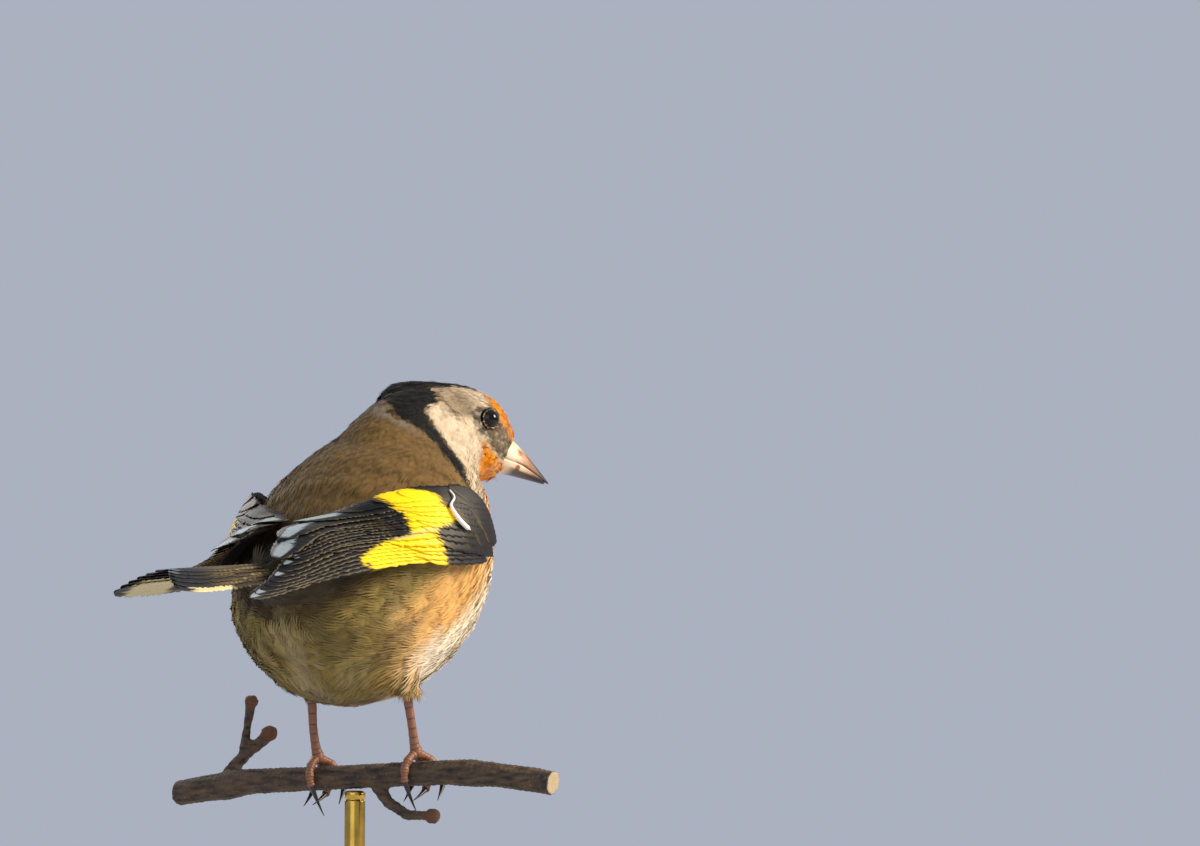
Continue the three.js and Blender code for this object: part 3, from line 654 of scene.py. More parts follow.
def sheet_at(s, t, lift, side):
    """A point so far over the wing's sheet; what stands over it is drawn in, most at the bend."""
    s, t, lift = (np.asarray(v, float).ravel() for v in np.broadcast_arrays(s, t, lift))
    point = sheet_point(s, t, side)
    along_s = sheet_point(s + 0.5, t, side) - sheet_point(s - 0.5, t, side)
    along_t = sheet_point(s, t + 0.04, side) - sheet_point(s, t - 0.04, side)
    normal = np.cross(along_t, along_s)
    normal /= np.linalg.norm(normal, axis=1, keepdims=True)
    thin = mix(0.6, 0.85, smooth(s, 2, 24))
    lift = np.where(lift > 0, lift * thin, lift)
    return point + normal * (-side * lift)[:, None]


def sheet_width(s):
    """How wide the folded right wing is at s."""
    s = np.asarray(s, float)
    return np.linalg.norm(sheet_point(s, s * 0, -1) - sheet_point(s, s * 0 + 1, -1), axis=1)


FLIGHT = ("primary", "secondary", "tertial")
# Each tier: kind, count, first and last root, first and last tip, widths, lift, and each vane's tilt.
WING_TIERS = [
    ("primary", 9, (13, 0.06, 17, 0.36), (71, 0.25, 50, 0.66), (4.4, 5.6), 0.25, 0.36),
    ("secondary", 7, (17, 0.38, 17, 0.66), (49.5, 0.56, 47, 0.82), (5.2, 6.0), 0.55, 0.36),
    ("tertial", 3, (16, 0.68, 15, 0.9), (53, 0.8, 38, 0.94), (6.6, 7.6), 0.75, 0.5),
    ("primary_covert", 5, (6, 0.05, 8, 0.24), (26, 0.05, 28, 0.28), (3.6, 4.2), 0.7, 0.4),
    ("greater", 9, (10, 0.27, 11, 0.95), (31, 0.3, 30.5, 0.95), (4.2, 4.4), 1.0, 0.4),
    ("median", 9, (6, 0.2, 7, 0.96), (20, 0.24, 21, 0.95), (4.6, 5.0), 1.35, 0.3),
    ("lesser", 9, (4.6, 0.2, 4.6, 0.95), (13.5, 0.2, 15.5, 0.95), (4.8, 5.2), 1.55, 0.14),
    ("lesser", 8, (3.4, 0.3, 2.6, 0.92), (10.4, 0.28, 11.2, 0.93), (4.8, 5.2), 1.65, 0.12),
    ("marginal", 8, (2.0, 0.36, 0.6, 0.95), (7.2, 0.34, 7, 0.94), (4.6, 5.0), 1.75, 0.1),
]
# The wing bar's front and back edge: (place across the wing, place along it).
BAR_FRONT = [(-0.1, 21), (0.07, 20), (0.29, 19), (0.36, 17.5), (0.47, 13)]
BAR_FRONT += [(0.57, 11.5), (0.73, 12), (0.93, 10.5), (1.1, 13)]
BAR_BACK = [(-0.1, 38), (0.05, 38), (0.15, 39), (0.22, 36), (0.28, 31)]
BAR_BACK += [(0.33, 25), (0.53, 22), (0.81, 21), (1.1, 20)]


def vane_outline(u, kind):
    """Half width of a vane at u from root to tip."""
    if kind in FLIGHT:
        rows = [(0, 0.55), (0.3, 0.92), (0.6, 1), (0.82, 0.92), (0.93, 0.66), (0.98, 0.36), (1, 0.05)]
    else:
        rows = [(0, 0.6), (0.35, 0.95), (0.65, 1), (0.84, 0.9), (0.94, 0.62), (0.985, 0.3), (1, 0.05)]
    return along(rows, u)[:, 0]


def wing_colour(s, t, u, w, kind, place, side, rng, tone):
    """Markings of a wing feather: s, t on the wing, u, w along and across it, place in its tier."""
    barbs = np.sin(u * 97 + np.abs(w) * 5 + rng.uniform(0, 6)) * 0.5
    barbs = barbs + np.sin(u * 211 + rng.uniform(0, 6)) * 0.35
    flight = kind in FLIGHT
    made = np.tile(tone["black"] if flight or kind == "greater" else tone["shoulder"], (len(s), 1))

    def paint(key, amount):
        nonlocal made
        made = tinted(made, tone[key], amount)

    if flight:
        # Thin olive edges on both sides of each feather.
        rim = smooth(np.abs(w) + 0.05 * barbs, 0.8, 0.94) * smooth(u, 0.15, 0.4)
        rim = rim * (0.35 + 0.5 * rng.random())
        paint("fringe", rim * (0.7 if kind == "primary" else 0.5))
    else:
        scale = smooth(u + 0.04 * barbs + 0.12 * w * w, 0.86, 1)
        paint("fringe", 0.6 * scale * (0.4 + 0.6 * rng.random()))
    yellow = smooth(s - along(BAR_FRONT, t)[:, 0] + 0.9 * barbs, -0.25, 0.25)
    yellow *= smooth(along(BAR_BACK, t)[:, 0] - s + 1.1 * barbs, -0.25, 0.25)
    if side > 0:
        yellow = yellow * smooth(0.72 - t, 0, 0.08)
    paint("bar", yellow)
    seam = smooth(0.022 - np.abs(t - mix(0.36, 0.3, smooth(s, 18, 26))), 0, 0.012) * yellow
    paint("tip", 0.55 * seam)
    if kind == "tertial":
        start = (0.7, 0.7, 0.6)[place]
        spot = smooth(u + 0.015 * barbs, start, start + 0.05) * smooth(0.985 - u, 0, 0.02)
        half = 0.14 + 0.42 * smooth(u, start, start + 0.2)
        paint("tip", spot * smooth(half - np.abs(w - 0.12), -0.06, 0.08) * 0.9)
    elif kind in ("primary", "secondary"):
        start = 0.93 if kind == "primary" else 0.9
        marked = kind == "secondary" or place in (0, 1, 5, 7, 8)
        spot = smooth(u + 0.008 * barbs, start, start + 0.02) * marked
        paint("tip", spot * smooth(0.42 - np.abs(w - 0.12), -0.12, 0.12) * 0.85)
    made *= (1 + 0.05 * barbs)[:, None]
    made *= mix(0.94, 1.06, rng.random())
    return np.clip(made, 0, 1)


def vane_part(place, rows, columns, kind, paint, rng):
    """One feather as a thin closed shell: place(u, w, height) gives its points, with w from -1 to 1."""
    u = np.linspace(0, 1, rows) ** 0.92
    w = np.linspace(-1, 1, columns)
    uu, ww = (a.ravel() for a in np.meshgrid(u, w, indexing="ij"))
    outline = vane_outline(uu, kind)
    fray = 1 + 0.05 * np.sin(uu * 160 + rng.uniform(0, 6)) * np.abs(ww)
    fray = fray + 0.04 * rng.normal(size=len(uu)) * (np.abs(ww) > 0.99)
    notch = 0.0
    for _ in range(2):
        at, which = rng.uniform(0.45, 0.95), rng.choice([-1, 1])
        notch = notch + 0.22 * np.exp(-(((uu - at) / 0.012) ** 2)) * smooth(ww * which, 0.5, 1)
    across = ww * outline * fray * (1 - notch)
    shaft = (0.1 if kind in FLIGHT else 0.03) * np.exp(-((ww / 0.12) ** 2)) * (1 - 0.6 * uu)
    cup = -0.16 * ww**2 * outline
    ripples = BARB_DEPTH * np.sin(uu * 150 + np.abs(ww) * 9)
    top = place(uu, across, shaft + cup + ripples)
    bottom = place(uu, across, cup - VANE_THICKNESS)
    colours = paint(uu, across / np.maximum(outline, 0.05))
    values = {
        "colour": np.concatenate([colours, colours * 0.8]),
        "uv": np.concatenate([np.stack([uu, ww], 1)] * 2),
    }
    return np.concatenate([top, bottom]), shell_faces(rows, columns), values


def wing_parts(side, tone):
    """Every feather of one wing, tier by tier; side is -1 for the bird's right and 1 for its left."""
    rng = np.random.default_rng(SEED + (1 if side > 0 else 0))
    parts = []
    for kind, count, root, tip, widths, lift, tilt in WING_TIERS:
        spread = abs(tip[3] - tip[1]) / (count - 1)
        for k in range(count):
            part = k / (count - 1)
            root_s, root_t = mix(root[0], root[2], part), mix(root[1], root[3], part)
            tip_s, tip_t = mix(tip[0], tip[2], part), mix(tip[1], tip[3], part)
            if kind not in FLIGHT:
                tip_s += rng.uniform(-0.8, 0.8)
                tip_t += rng.uniform(-0.012, 0.012)
            width = mix(widths[0], widths[1], part)

            def on_sheet(u, w, tip_s=tip_s, tip_t=tip_t, root_s=root_s, root_t=root_t, width=width):
                s, t = mix(root_s, tip_s, u), mix(root_t, tip_t, u)
                wide = np.maximum(sheet_width(s), 4)
                return s, t + w * width / 2 / wide, wide

            def place(u, w, height, on_sheet=on_sheet, width=width):
                s, t, wide = on_sheet(u, w)
                shingle = np.minimum(tilt * width / np.maximum(spread * wide, 0.9), 2.2)
                sunk = -0.8 * smooth(0.08 - u, 0, 0.08)
                return sheet_at(s, t, lift + sunk - shingle * w / 2 + height, side)

            def paint(u, w, on_sheet=on_sheet, kind=kind, k=k):
                s, t, _ = on_sheet(u, w * vane_outline(u, kind))
                return wing_colour(s, t, u, w, kind, k, side, rng, tone)

            rows, columns = (72, 13) if kind in FLIGHT else (34, 11)
            parts.append(vane_part(place, rows, columns, kind, paint, rng))
    return parts


# A loose white feather that curls over the right shoulder: (step, along and across the wing, lift).
PLUME = [
    (0, 7.0, 0.99, 2.0),
    (1, 8.5, 0.85, 2.5),
    (2, 11.0, 0.71, 2.4),
    (3, 12.0, 0.55, 2.5),
    (4, 12.0, 0.43, 2.6),
    (5, 11.0, 0.36, 2.3),
]


def plume_part():
    """The loose feather as a round curled strand, thicker to its free end."""
    u = np.linspace(0, 5, 60)
    s, t, lift = along(PLUME, u).T
    line = sheet_at(s, t, lift, -1)
    over = sheet_at(s[30:31], t[30:31], 3, -1)[0] - sheet_at(s[30:31], t[30:31], 1, -1)[0]
    radii = mix(0.14, 0.46, smooth(u, 0, 4.2)) * (1 - 0.75 * smooth(u, 4.6, 5))
    points, faces = tube_part(line, radii, 10, over)
    white = np.tile(np.array(linear("F2EADC")), (len(points), 1))
    values = {"colour": white, "uv": np.stack([np.linspace(0, 1, len(points)), np.zeros(len(points))], 1)}
    return points, faces, values


def core_part(side, tone):
    """The dark bed of feather roots under the tiers."""
    s = np.array([3, 5, 7, 9, 12, 15, 18, 22, 26, 30, 34, 38, 42, 46])
    t = np.linspace(0.04, 0.96, 12)
    ss, tt = (a.ravel() for a in np.meshgrid(s, t, indexing="ij"))
    top, bottom = sheet_at(ss, tt, 0.35, side), sheet_at(ss, tt, -1.2, side)
    yellow = smooth(ss - along(BAR_FRONT, tt)[:, 0], 0, 1) * smooth(along(BAR_BACK, tt)[:, 0] - ss, 0, 1)
    colours = tinted(np.tile(tone["black"], (len(top), 1)), tone["bar"], yellow)
    flat = np.stack([ss / 50, tt * 2 - 1], 1)
    values = {"colour": np.concatenate([colours] * 2), "uv": np.concatenate([flat] * 2)}
    return np.concatenate([top, bottom]), shell_faces(len(s), len(t)), values


TAIL_PAIRS = 6


def tail_parts(tone):
    """The tail's feathers, the middle pair on top and each next pair a little lower and longer."""
    rng = np.random.default_rng(SEED + 3)
    parts = []
    for pair in range(TAIL_PAIRS):
        outer = pair / (TAIL_PAIRS - 1)
        reach = TAIL_LENGTH - TAIL_FORK * (1 - outer) ** 1.3
        for side in (-1, 1):

            def place(u, w, height, pair=pair, side=side, reach=reach):
                f = mix(2, reach, u)
                y = side * mix(0.9 + 0.45 * pair, 1.5 + 1.05 * pair, u) + w * 2.5
                level = 1 - 0.34 * pair - 0.036 * y * y - 0.16 * w * side
                return TAIL.place(f, y, level + height)

            def paint(u, w, pair=pair, side=side):
                outer_web = smooth(w * side, -0.1, 0.2)
                made = np.tile(tone["black"], (len(u), 1))
                streak = np.sin(w * 9 + pair * 2.1 + 2 * np.sin(u * 7)) * 0.5
                streak = streak + np.sin(w * 23 + u * 5 + pair) * 0.4
                brown = (0.85 - 0.08 * pair) * smooth(0.9 - u, 0, 0.3) * (0.6 + 0.45 * streak)
                made = tinted(made, tone["tail_brown"], brown)
                pale_tip = 0.4 * smooth(u + 0.01 * streak, 0.955, 0.975) * (pair < 2)
                made = tinted(made, tone["tip"], pale_tip)
                # Painted golden highlights along the brighter streaks, in the cream colour.
                painted_highlight = smooth(streak, 0.45, 0.8) * smooth(0.8 - u, 0, 0.4)
                made = tinted(made, tone["tail_cream"], 0.35 * painted_highlight)
                patch = smooth(0.17 - np.abs(u - 0.76) + 0.03 * streak, 0, 0.05)
                patch = patch * (1 - outer_web * (pair < TAIL_PAIRS - 1)) * (pair > 3)
                made = tinted(made, tone["tail_cream"], 0.95 * patch)
                return np.clip(made, 0, 1)

            parts.append(vane_part(place, 78, 13, "primary", paint, rng))
    return parts


def vane_material(name):
    """Feather keratin: fine barbs slant from the shaft, so the sheen breaks into thin lines."""
    material, tree, shader = new_material(name, 0.46)
    painted = attribute(tree, "colour")
    own = node(tree, "ShaderNodeUVMap", uv_map="vane")
    parts = node(tree, "ShaderNodeSeparateXYZ", {"Vector": own}, None)
    off_shaft = node(tree, "ShaderNodeMath", {0: parts.outputs["Y"]}, operation="ABSOLUTE")
    slant = node(tree, "ShaderNodeMath", {0: off_shaft, 1: 0.09}, operation="MULTIPLY")
    barb = node(tree, "ShaderNodeMath", {0: parts.outputs["X"], 1: slant}, operation="SUBTRACT")
    line = node(tree, "ShaderNodeCombineXYZ", {"X": barb})
    given = {"Vector": line, "Scale": 70.0, "Detail": 4.0, "Roughness": 0.7}
    fine = node(tree, "ShaderNodeTexNoise", given, 0)
    shade = ramp(tree, fine, [(0.3, (0.62, 0.6, 0.57)), (0.5, (1, 1, 1)), (0.75, (1.25, 1.22, 1.16))])
    streaked = blend(tree, 0.55, painted, shade, "MULTIPLY")
    tree.links.new(streaked, shader.inputs["Base Color"])
    shader.inputs["Specular IOR Level"].default_value = 0.3
    bumped(tree, shader, fine, 0.5, 0.12)
    return material


def finished(piece, material, replaces=()):
    """Material on, riding on the bird's one body, standing for its solids."""
    piece.data.materials.clear()
    piece.data.materials.append(material)
    for other in list(piece.data.uv_layers):
        if other.name == "UVMap" and len(piece.data.uv_layers) > 1:
            piece.data.uv_layers.remove(other)
    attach(piece, "root")
    if replaces:
        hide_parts(*replaces)
    return piece


# The coat of small feathers
BAKE_PATCH = 0.003  # each feather's own part of the skin's map, as a share of the map's width


def tuft_object(name, barbs, spread, width, lift, cup, seed):
    """A feather of a few barbs along +X, one unit long, with its place on its own map in 'patch'."""
    rng = np.random.default_rng(seed)
    points, faces, patch = [], [], []
    for k in range(barbs):
        part = (k + 0.5) / barbs * 2 - 1
        angle = part * spread
        reach = 1 - 0.22 * abs(part) ** 1.5 + rng.uniform(-0.07, 0.07)
        start = len(points)
        for u, share in ((0.0, 0.55), (0.4, 1.0), (0.78, 0.66)):
            x = reach * u * math.cos(angle)
            y = part * 0.16 * (1 - u) + reach * u * math.sin(angle)
            z = lift * math.sin(u * math.pi * 0.55) - cup * u * u - 0.1 * abs(part) * u
            for edge_side in (-1, 1):
                points.append((x, y + edge_side * width * share / 2, z))
                patch.append((u * 0.9, part * 0.5 + 0.5))
        tip = (math.cos(angle * 1.08), math.sin(angle * 1.08))
        points.append((reach * tip[0], reach * tip[1], lift * 0.85 - cup - 0.1 * abs(part)))
        patch.append((1.0, part * 0.5 + 0.5))
        for i in (0, 2):
            faces.append([start + i, start + i + 2, start + i + 3, start + i + 1])
        faces.append([start + 4, start + 6, start + 5])
    made = mesh_object(name, np.array(points) / MM, faces)
    store(made, "patch", [(a, b, 0) for a, b in patch], "FLOAT_VECTOR")
    work = bmesh.new()
    work.from_mesh(made.data)
    if sum(f.normal.z for f in work.faces) < 0:
        bmesh.ops.reverse_faces(work, faces=work.faces)
    work.to_mesh(made.data)
    work.free()
    return made


def coat_tree(name, material, tufts):
    """Geometry Nodes: feathers over the skin, turned along its 'lie' and sized by its 'size'."""
    tree = bpy.data.node_groups.new(name, "GeometryNodeTree")
    face = tree.interface
    face.new_socket("Geometry", in_out="INPUT", socket_type="NodeSocketGeometry")
    for label, kind, default in (
        ("Spacing", "NodeSocketFloat", 0.0006),
        ("Length", "NodeSocketFloat", 0.004),
        ("Width", "NodeSocketFloat", 0.6),
        ("Seed", "NodeSocketInt", SEED),
    ):
        face.new_socket(label, in_out="INPUT", socket_type=kind).default_value = default
    face.new_socket("Geometry", in_out="OUTPUT", socket_type="NodeSocketGeometry")
    given = node(tree, "NodeGroupInput", None, None).outputs
    named = "GeometryNodeInputNamedAttribute"
    lie = node(tree, named, {"Name": "lie"}, data_type="FLOAT_VECTOR")
    size = node(tree, named, {"Name": "size"}, data_type="FLOAT")
    thick = node(tree, named, {"Name": "cover"}, data_type="FLOAT")
    spread = node(
        tree,
        "GeometryNodeDistributePointsOnFaces",
        {
            "Mesh": given["Geometry"],
            "Distance Min": given["Spacing"],
            "Density Max": 6.0e6,
            "Density Factor": thick,
            "Seed": given["Seed"],
        },
        None,
        distribute_method="POISSON",
    )
    laid = node(
        tree,
        "FunctionNodeAxesToRotation",
        {"Primary Axis": spread.outputs["Normal"], "Secondary Axis": lie},
        primary_axis="Z",
        secondary_axis="X",
    )
    vary = "FunctionNodeRandomValue"
    turns = {0: (-0.14, -0.1, -0.3), 1: (0.14, 0.06, 0.3), "Seed": given["Seed"]}
    wobble = node(tree, vary, turns, 0, data_type="FLOAT_VECTOR")
    turned = node(
        tree,
        "FunctionNodeRotateRotation",
        {"Rotation": laid, "Rotate By": wobble},
        rotation_space="LOCAL",
    )
    spare = node(tree, vary, {2: 0.8, 3: 1.2, "Seed": 3}, 1, data_type="FLOAT")
    long = node(tree, "ShaderNodeMath", {0: given["Length"], 1: size}, operation="MULTIPLY")
    long = node(tree, "ShaderNodeMath", {0: long, 1: spare}, operation="MULTIPLY")
    wide = node(tree, "ShaderNodeMath", {0: long, 1: given["Width"]}, operation="MULTIPLY")
    grown = node(tree, "ShaderNodeCombineXYZ", {"X": long, "Y": wide, "Z": long})
    kinds = node(tree, "GeometryNodeJoinGeometry", None, None)
    for tuft in tufts:
        shape = node(tree, "GeometryNodeObjectInfo", {"Object": tuft}, "Geometry")
        one = node(tree, "GeometryNodeGeometryToInstance", {"Geometry": shape})
        tree.links.new(one, kinds.inputs["Geometry"])
    placed = node(
        tree,
        "GeometryNodeInstanceOnPoints",
        {
            "Points": spread.outputs["Points"],
            "Instance": kinds.outputs["Geometry"],
            "Pick Instance": True,
            "Rotation": turned,
            "Scale": grown,
        },
    )
    shade = node(tree, vary, {2: 0.0, 3: 1.0, "Seed": 11}, 1, data_type="FLOAT")
    shaded = node(
        tree,
        "GeometryNodeStoreNamedAttribute",
        {"Geometry": placed, "Name": "shade", "Value": shade},
        data_type="FLOAT",
        domain="INSTANCE",
    )
    real = node(tree, "GeometryNodeRealizeInstances", {"Geometry": shaded})
    root = node(tree, named, {"Name": "root_uv"}, data_type="FLOAT_VECTOR")
    patch = node(tree, named, {"Name": "patch"}, data_type="FLOAT_VECTOR")
    small = node(tree, "ShaderNodeVectorMath", {0: patch, "Scale": BAKE_PATCH}, operation="SCALE")
    own = node(tree, "ShaderNodeVectorMath", {0: root, 1: small}, operation="ADD")
    mapped = node(
        tree,
        "GeometryNodeStoreNamedAttribute",
        {"Geometry": real, "Name": "OFBake", "Value": own},
        data_type="FLOAT2",
        domain="CORNER",
    )
    dressed = node(tree, "GeometryNodeSetMaterial", {"Geometry": mapped, "Material": material})
    out = node(tree, "NodeGroupOutput", None, None)
    tree.links.new(dressed, out.inputs["Geometry"])
    return tree


def set_input(modifier, label, value):
    """Sets a modifier's named input by its socket's identifier."""
    for item in modifier.node_group.interface.items_tree:
        if item.item_type == "SOCKET" and item.in_out == "INPUT" and item.name == label:
            modifier[item.identifier] = value
            return
    raise RuntimeError(f"no input named {label}")


def plumage_material():
    """Body feathers: soft keratin barbs, matt, with a faint bloom at a grazing angle."""
    material, tree, shader = new_material("body_feathers", 0.72)
    painted = attribute(tree, "colour")
    shade = attribute(tree, "shade", "Fac")
    tip = attribute(tree, "patch", "Vector")
    parts = node(tree, "ShaderNodeSeparateXYZ", {"Vector": tip}, None)
    each = ramp(tree, shade, [(0, (0.8, 0.78, 0.75)), (0.5, (1, 1, 1)), (1, (1.16, 1.15, 1.12))])
    made = blend(tree, 0.6, painted, each, "MULTIPLY")
    root_to_tip = [(0, (0.72, 0.7, 0.67)), (0.5, (0.98, 0.98, 0.98)), (1, (1.05, 1.04, 1.02))]
    ends = ramp(tree, parts.outputs["X"], root_to_tip)
    made = blend(tree, 0.6, made, ends, "MULTIPLY")
    mottle = speckle(tree, 0.5, 3)
    patches = ramp(tree, mottle, [(0.3, (0.86, 0.85, 0.83)), (0.7, (1.1, 1.1, 1.09))])
    made = blend(tree, 0.6, made, patches, "MULTIPLY")
    tree.links.new(made, shader.inputs["Base Color"])
    shader.inputs["Sheen Weight"].default_value = 0.03
    shader.inputs["Specular IOR Level"].default_value = 0.15
    return material


def skin_material():
    """The down under the feathers, of the same colours and a little darker."""
    material, tree, shader = new_material("down_skin", 0.85)
    painted = attribute(tree, "colour")
    grain = speckle(tree, 1.6, 4)
    darker = ramp(tree, grain, [(0.3, (0.55, 0.53, 0.5)), (0.7, (0.85, 0.83, 0.8))])
    tree.links.new(blend(tree, 1.0, painted, darker, "MULTIPLY"), shader.inputs["Base Color"])
    bumped(tree, shader, grain, 0.6, 0.2)
    return material


FLESH = ("torso", "neck", "head", "thigh_left", "thigh_right")
FLESH_OVERLAP = 0.25  # how far each is grown so that they join
SKIN_VOXEL = 0.62


def eye_distance(points):
    """How far each point is from the nearer eye."""
    return np.min([np.linalg.norm(points - centre, axis=1) for centre in EYES.values()], axis=0)


def build_skin(settings):
    """One closed skin through the flesh nodes, drawn in by the feathers' depth."""
    skin = copied_nodes("bird_skin", FLESH, FLESH_OVERLAP)
    rounded(skin, SKIN_VOXEL, 14)
    keep_largest(skin)
    points, normals = points_of(skin), normals_of(skin)
    bill_root = np.linalg.norm(points - BILL.place(1, 0, 0), axis=1)
    bare = np.minimum(eye_distance(points), bill_root)
    depth = settings.depth / MM * mix(0.3, 1, smooth(bare, 3, 14))
    move_points(skin, points - normals * (depth + FLESH_OVERLAP)[:, None])
    return skin


def keep_largest(piece):
    """Only the largest connected shell stays."""
    work = bmesh.new()
    work.from_mesh(piece.data)
    work.verts.ensure_lookup_table()
    seen = np.zeros(len(work.verts), bool)
    shells = []
    for first in work.verts:
        if seen[first.index]:
            continue
        shell, waiting = [], [first]
        seen[first.index] = True
        while waiting:
            vert = waiting.pop()
            shell.append(vert)
            for link in vert.link_edges:
                other = link.other_vert(vert)
                if not seen[other.index]:
                    seen[other.index] = True
                    waiting.append(other)
        shells.append(shell)
    shells.sort(key=len)
    for shell in shells[:-1]:
        bmesh.ops.delete(work, geom=shell, context="VERTS")
    work.to_mesh(piece.data)
    work.free()


def unwrap(piece, name):
    """An unwrap of the piece's own shape into islands."""
    piece.data.uv_layers.new(name=name)
    bpy.ops.object.select_all(action="DESELECT")
    bpy.context.view_layer.objects.active = piece
    piece.select_set(True)
    bpy.ops.object.mode_set(mode="EDIT")
    bpy.ops.mesh.select_all(action="SELECT")
    bpy.ops.uv.smart_project(angle_limit=math.radians(72), island_margin=0.004)
    bpy.ops.object.mode_set(mode="OBJECT")
    piece.select_set(False)


def store_roots(skin):
    """Keeps the skin's own map where its feathers can read it."""
    count = len(skin.data.loops)
    corners = np.empty(count * 2, np.float32)
    skin.data.uv_layers["OFBake"].data.foreach_get("uv", corners)
    root = skin.data.attributes.new("root_uv", "FLOAT_VECTOR", "CORNER")
    pairs = np.concatenate([corners.reshape(-1, 2), np.zeros((count, 1), np.float32)], 1)
    root.data.foreach_set("vector", pairs.ravel())


def coat_plan(points, settings):
    """The feathers' length at each point, the skin that has any, and each region's spacing and width."""
    bill_front, bill_side, _ = BILL.read(points)
    in_bill = smooth(bill_front, 0.2, 1.0) * smooth(3.4 - np.abs(bill_side), 0, 0.6)
    open_skin = smooth(eye_distance(points), 2.45, 2.7) * (1 - in_bill)
    head_front = HEAD.read(points)[0]
    f, _, u = TORSO.read(points)
    head_part = smooth(points[:, 2], PERCH + 55, PERCH + 64)
    face = smooth(head_front, -9, 6) * head_part
    low = smooth(-u, 4, 16)
    foot_end = smooth(PERCH + 20 - points[:, 2], 0, 5)
    size = mix(1.0, settings.belly_length / settings.body_length, low)
    size = mix(size, 0.62, head_part)
    size = mix(size, settings.face_length / settings.body_length, face)
    size = mix(size, 0.5, foot_end)
    on_face, on_head = face > 0.35, head_part > 0.3
    upper, front = u > 1, f > -6
    regions = {
        "face": (on_face, 0.31, 0.85),
        "crown_nape": (on_head & ~on_face, 0.46, 0.765),
        "back": (~on_head & ~on_face & upper, 0.7, 0.816),
        "breast": (~on_head & ~upper & front, 0.7, 0.748),
        "belly": (~on_head & ~upper & ~front, 0.7, 0.748),
    }
    return size, open_skin, regions


class GOLDFINCH_OT_body(bpy.types.Operator):
    """Builds the skin and the coat of small feathers over it"""

    bl_idname = "goldfinch.body"
    bl_label = "Skin and coat"

    def execute(self, context):
        settings = context.scene.goldfinch_plumage
        skin = build_skin(settings)
        unwrap(skin, "OFBake")
        points, normals = points_of(skin), normals_of(skin)
        store(skin, "colour", plumage_colour(points, settings), "FLOAT_COLOR")
        store(skin, "lie", lie_direction(points, normals), "FLOAT_VECTOR")
        store_roots(skin)
        size, open_skin, regions = coat_plan(points, settings)
        store(skin, "size", size)
        feathers = plumage_material()
        form = {"barbs": 5, "spread": 0.42, "width": 0.105, "lift": 0.13, "cup": 0.14}
        tufts = [tuft_object(f"tuft_{k}", seed=SEED + k, **form) for k in range(3)]
        tree = coat_tree("coat", feathers, tufts)
        for label, (where, spacing, width) in regions.items():
            if "cover" in skin.data.attributes:
                skin.data.attributes.remove(skin.data.attributes["cover"])
            store(skin, "cover", where * open_skin)
            coat = bpy.data.objects.new("coat_" + label, skin.data.copy())
            context.scene.collection.objects.link(coat)
            modifier = coat.modifiers.new("feathers", "NODES")
            modifier.node_group = tree
            set_input(modifier, "Spacing", spacing * MM)
            set_input(modifier, "Length", settings.body_length)
            set_input(modifier, "Width", width)
            finish_modifiers(coat)
            finished(coat, feathers)
        for tuft in tufts:
            bpy.data.objects.remove(tuft)
        finished(skin, skin_material(), FLESH)
        return {"FINISHED"}


class GOLDFINCH_OT_wings(bpy.types.Operator):
    """Builds both wings feather by feather"""

    bl_idname = "goldfinch.wings"
    bl_label = "Wings"

    def execute(self, context):
        tone = tones(context.scene.goldfinch_wing)
        material = vane_material("flight_feathers")
        for side, label in ((-1, "right"), (1, "left")):
            parts = wing_parts(side, tone) + [core_part(side, tone)]
            if side < 0:
                parts.append(plume_part())
            wing, values = joined("feathers_wing_" + label, parts)
            store(wing, "colour", values["colour"], "FLOAT_COLOR")
            store_uv(wing, "vane", values["uv"])
            outwards(wing)
            finished(wing, material, ("wing_" + label,))
        return {"FINISHED"}


class GOLDFINCH_OT_tail(bpy.types.Operator):
    """Builds the tail's twelve feathers"""

    bl_idname = "goldfinch.tail"
    bl_label = "Tail"

    def execute(self, context):
        tone = tones(context.scene.goldfinch_wing)
        tail, values = joined("feathers_tail", tail_parts(tone))
        store(tail, "colour", values["colour"], "FLOAT_COLOR")
        store_uv(tail, "vane", values["uv"])
        outwards(tail)
        finished(tail, vane_material("tail_feathers"), ("tail",))
        return {"FINISHED"}


# Bill and eyes
# The bill's line: (place from its root, half width, ridge, mouth, lower edge).
BILL_LINE = [
    (-2.2, 3.3, 3.6, -1.5, -3.7),
    (0, 3.2, 3.7, -1.1, -3.6),
    (3, 2.6, 3.0, -0.4, -2.6),
    (6.5, 1.65, 1.8, -0.15, -1.6),
    (9.6, 0.75, 0.65, -0.1, -0.75),
    (11, 0.32, 0.14, -0.1, -0.4),
]


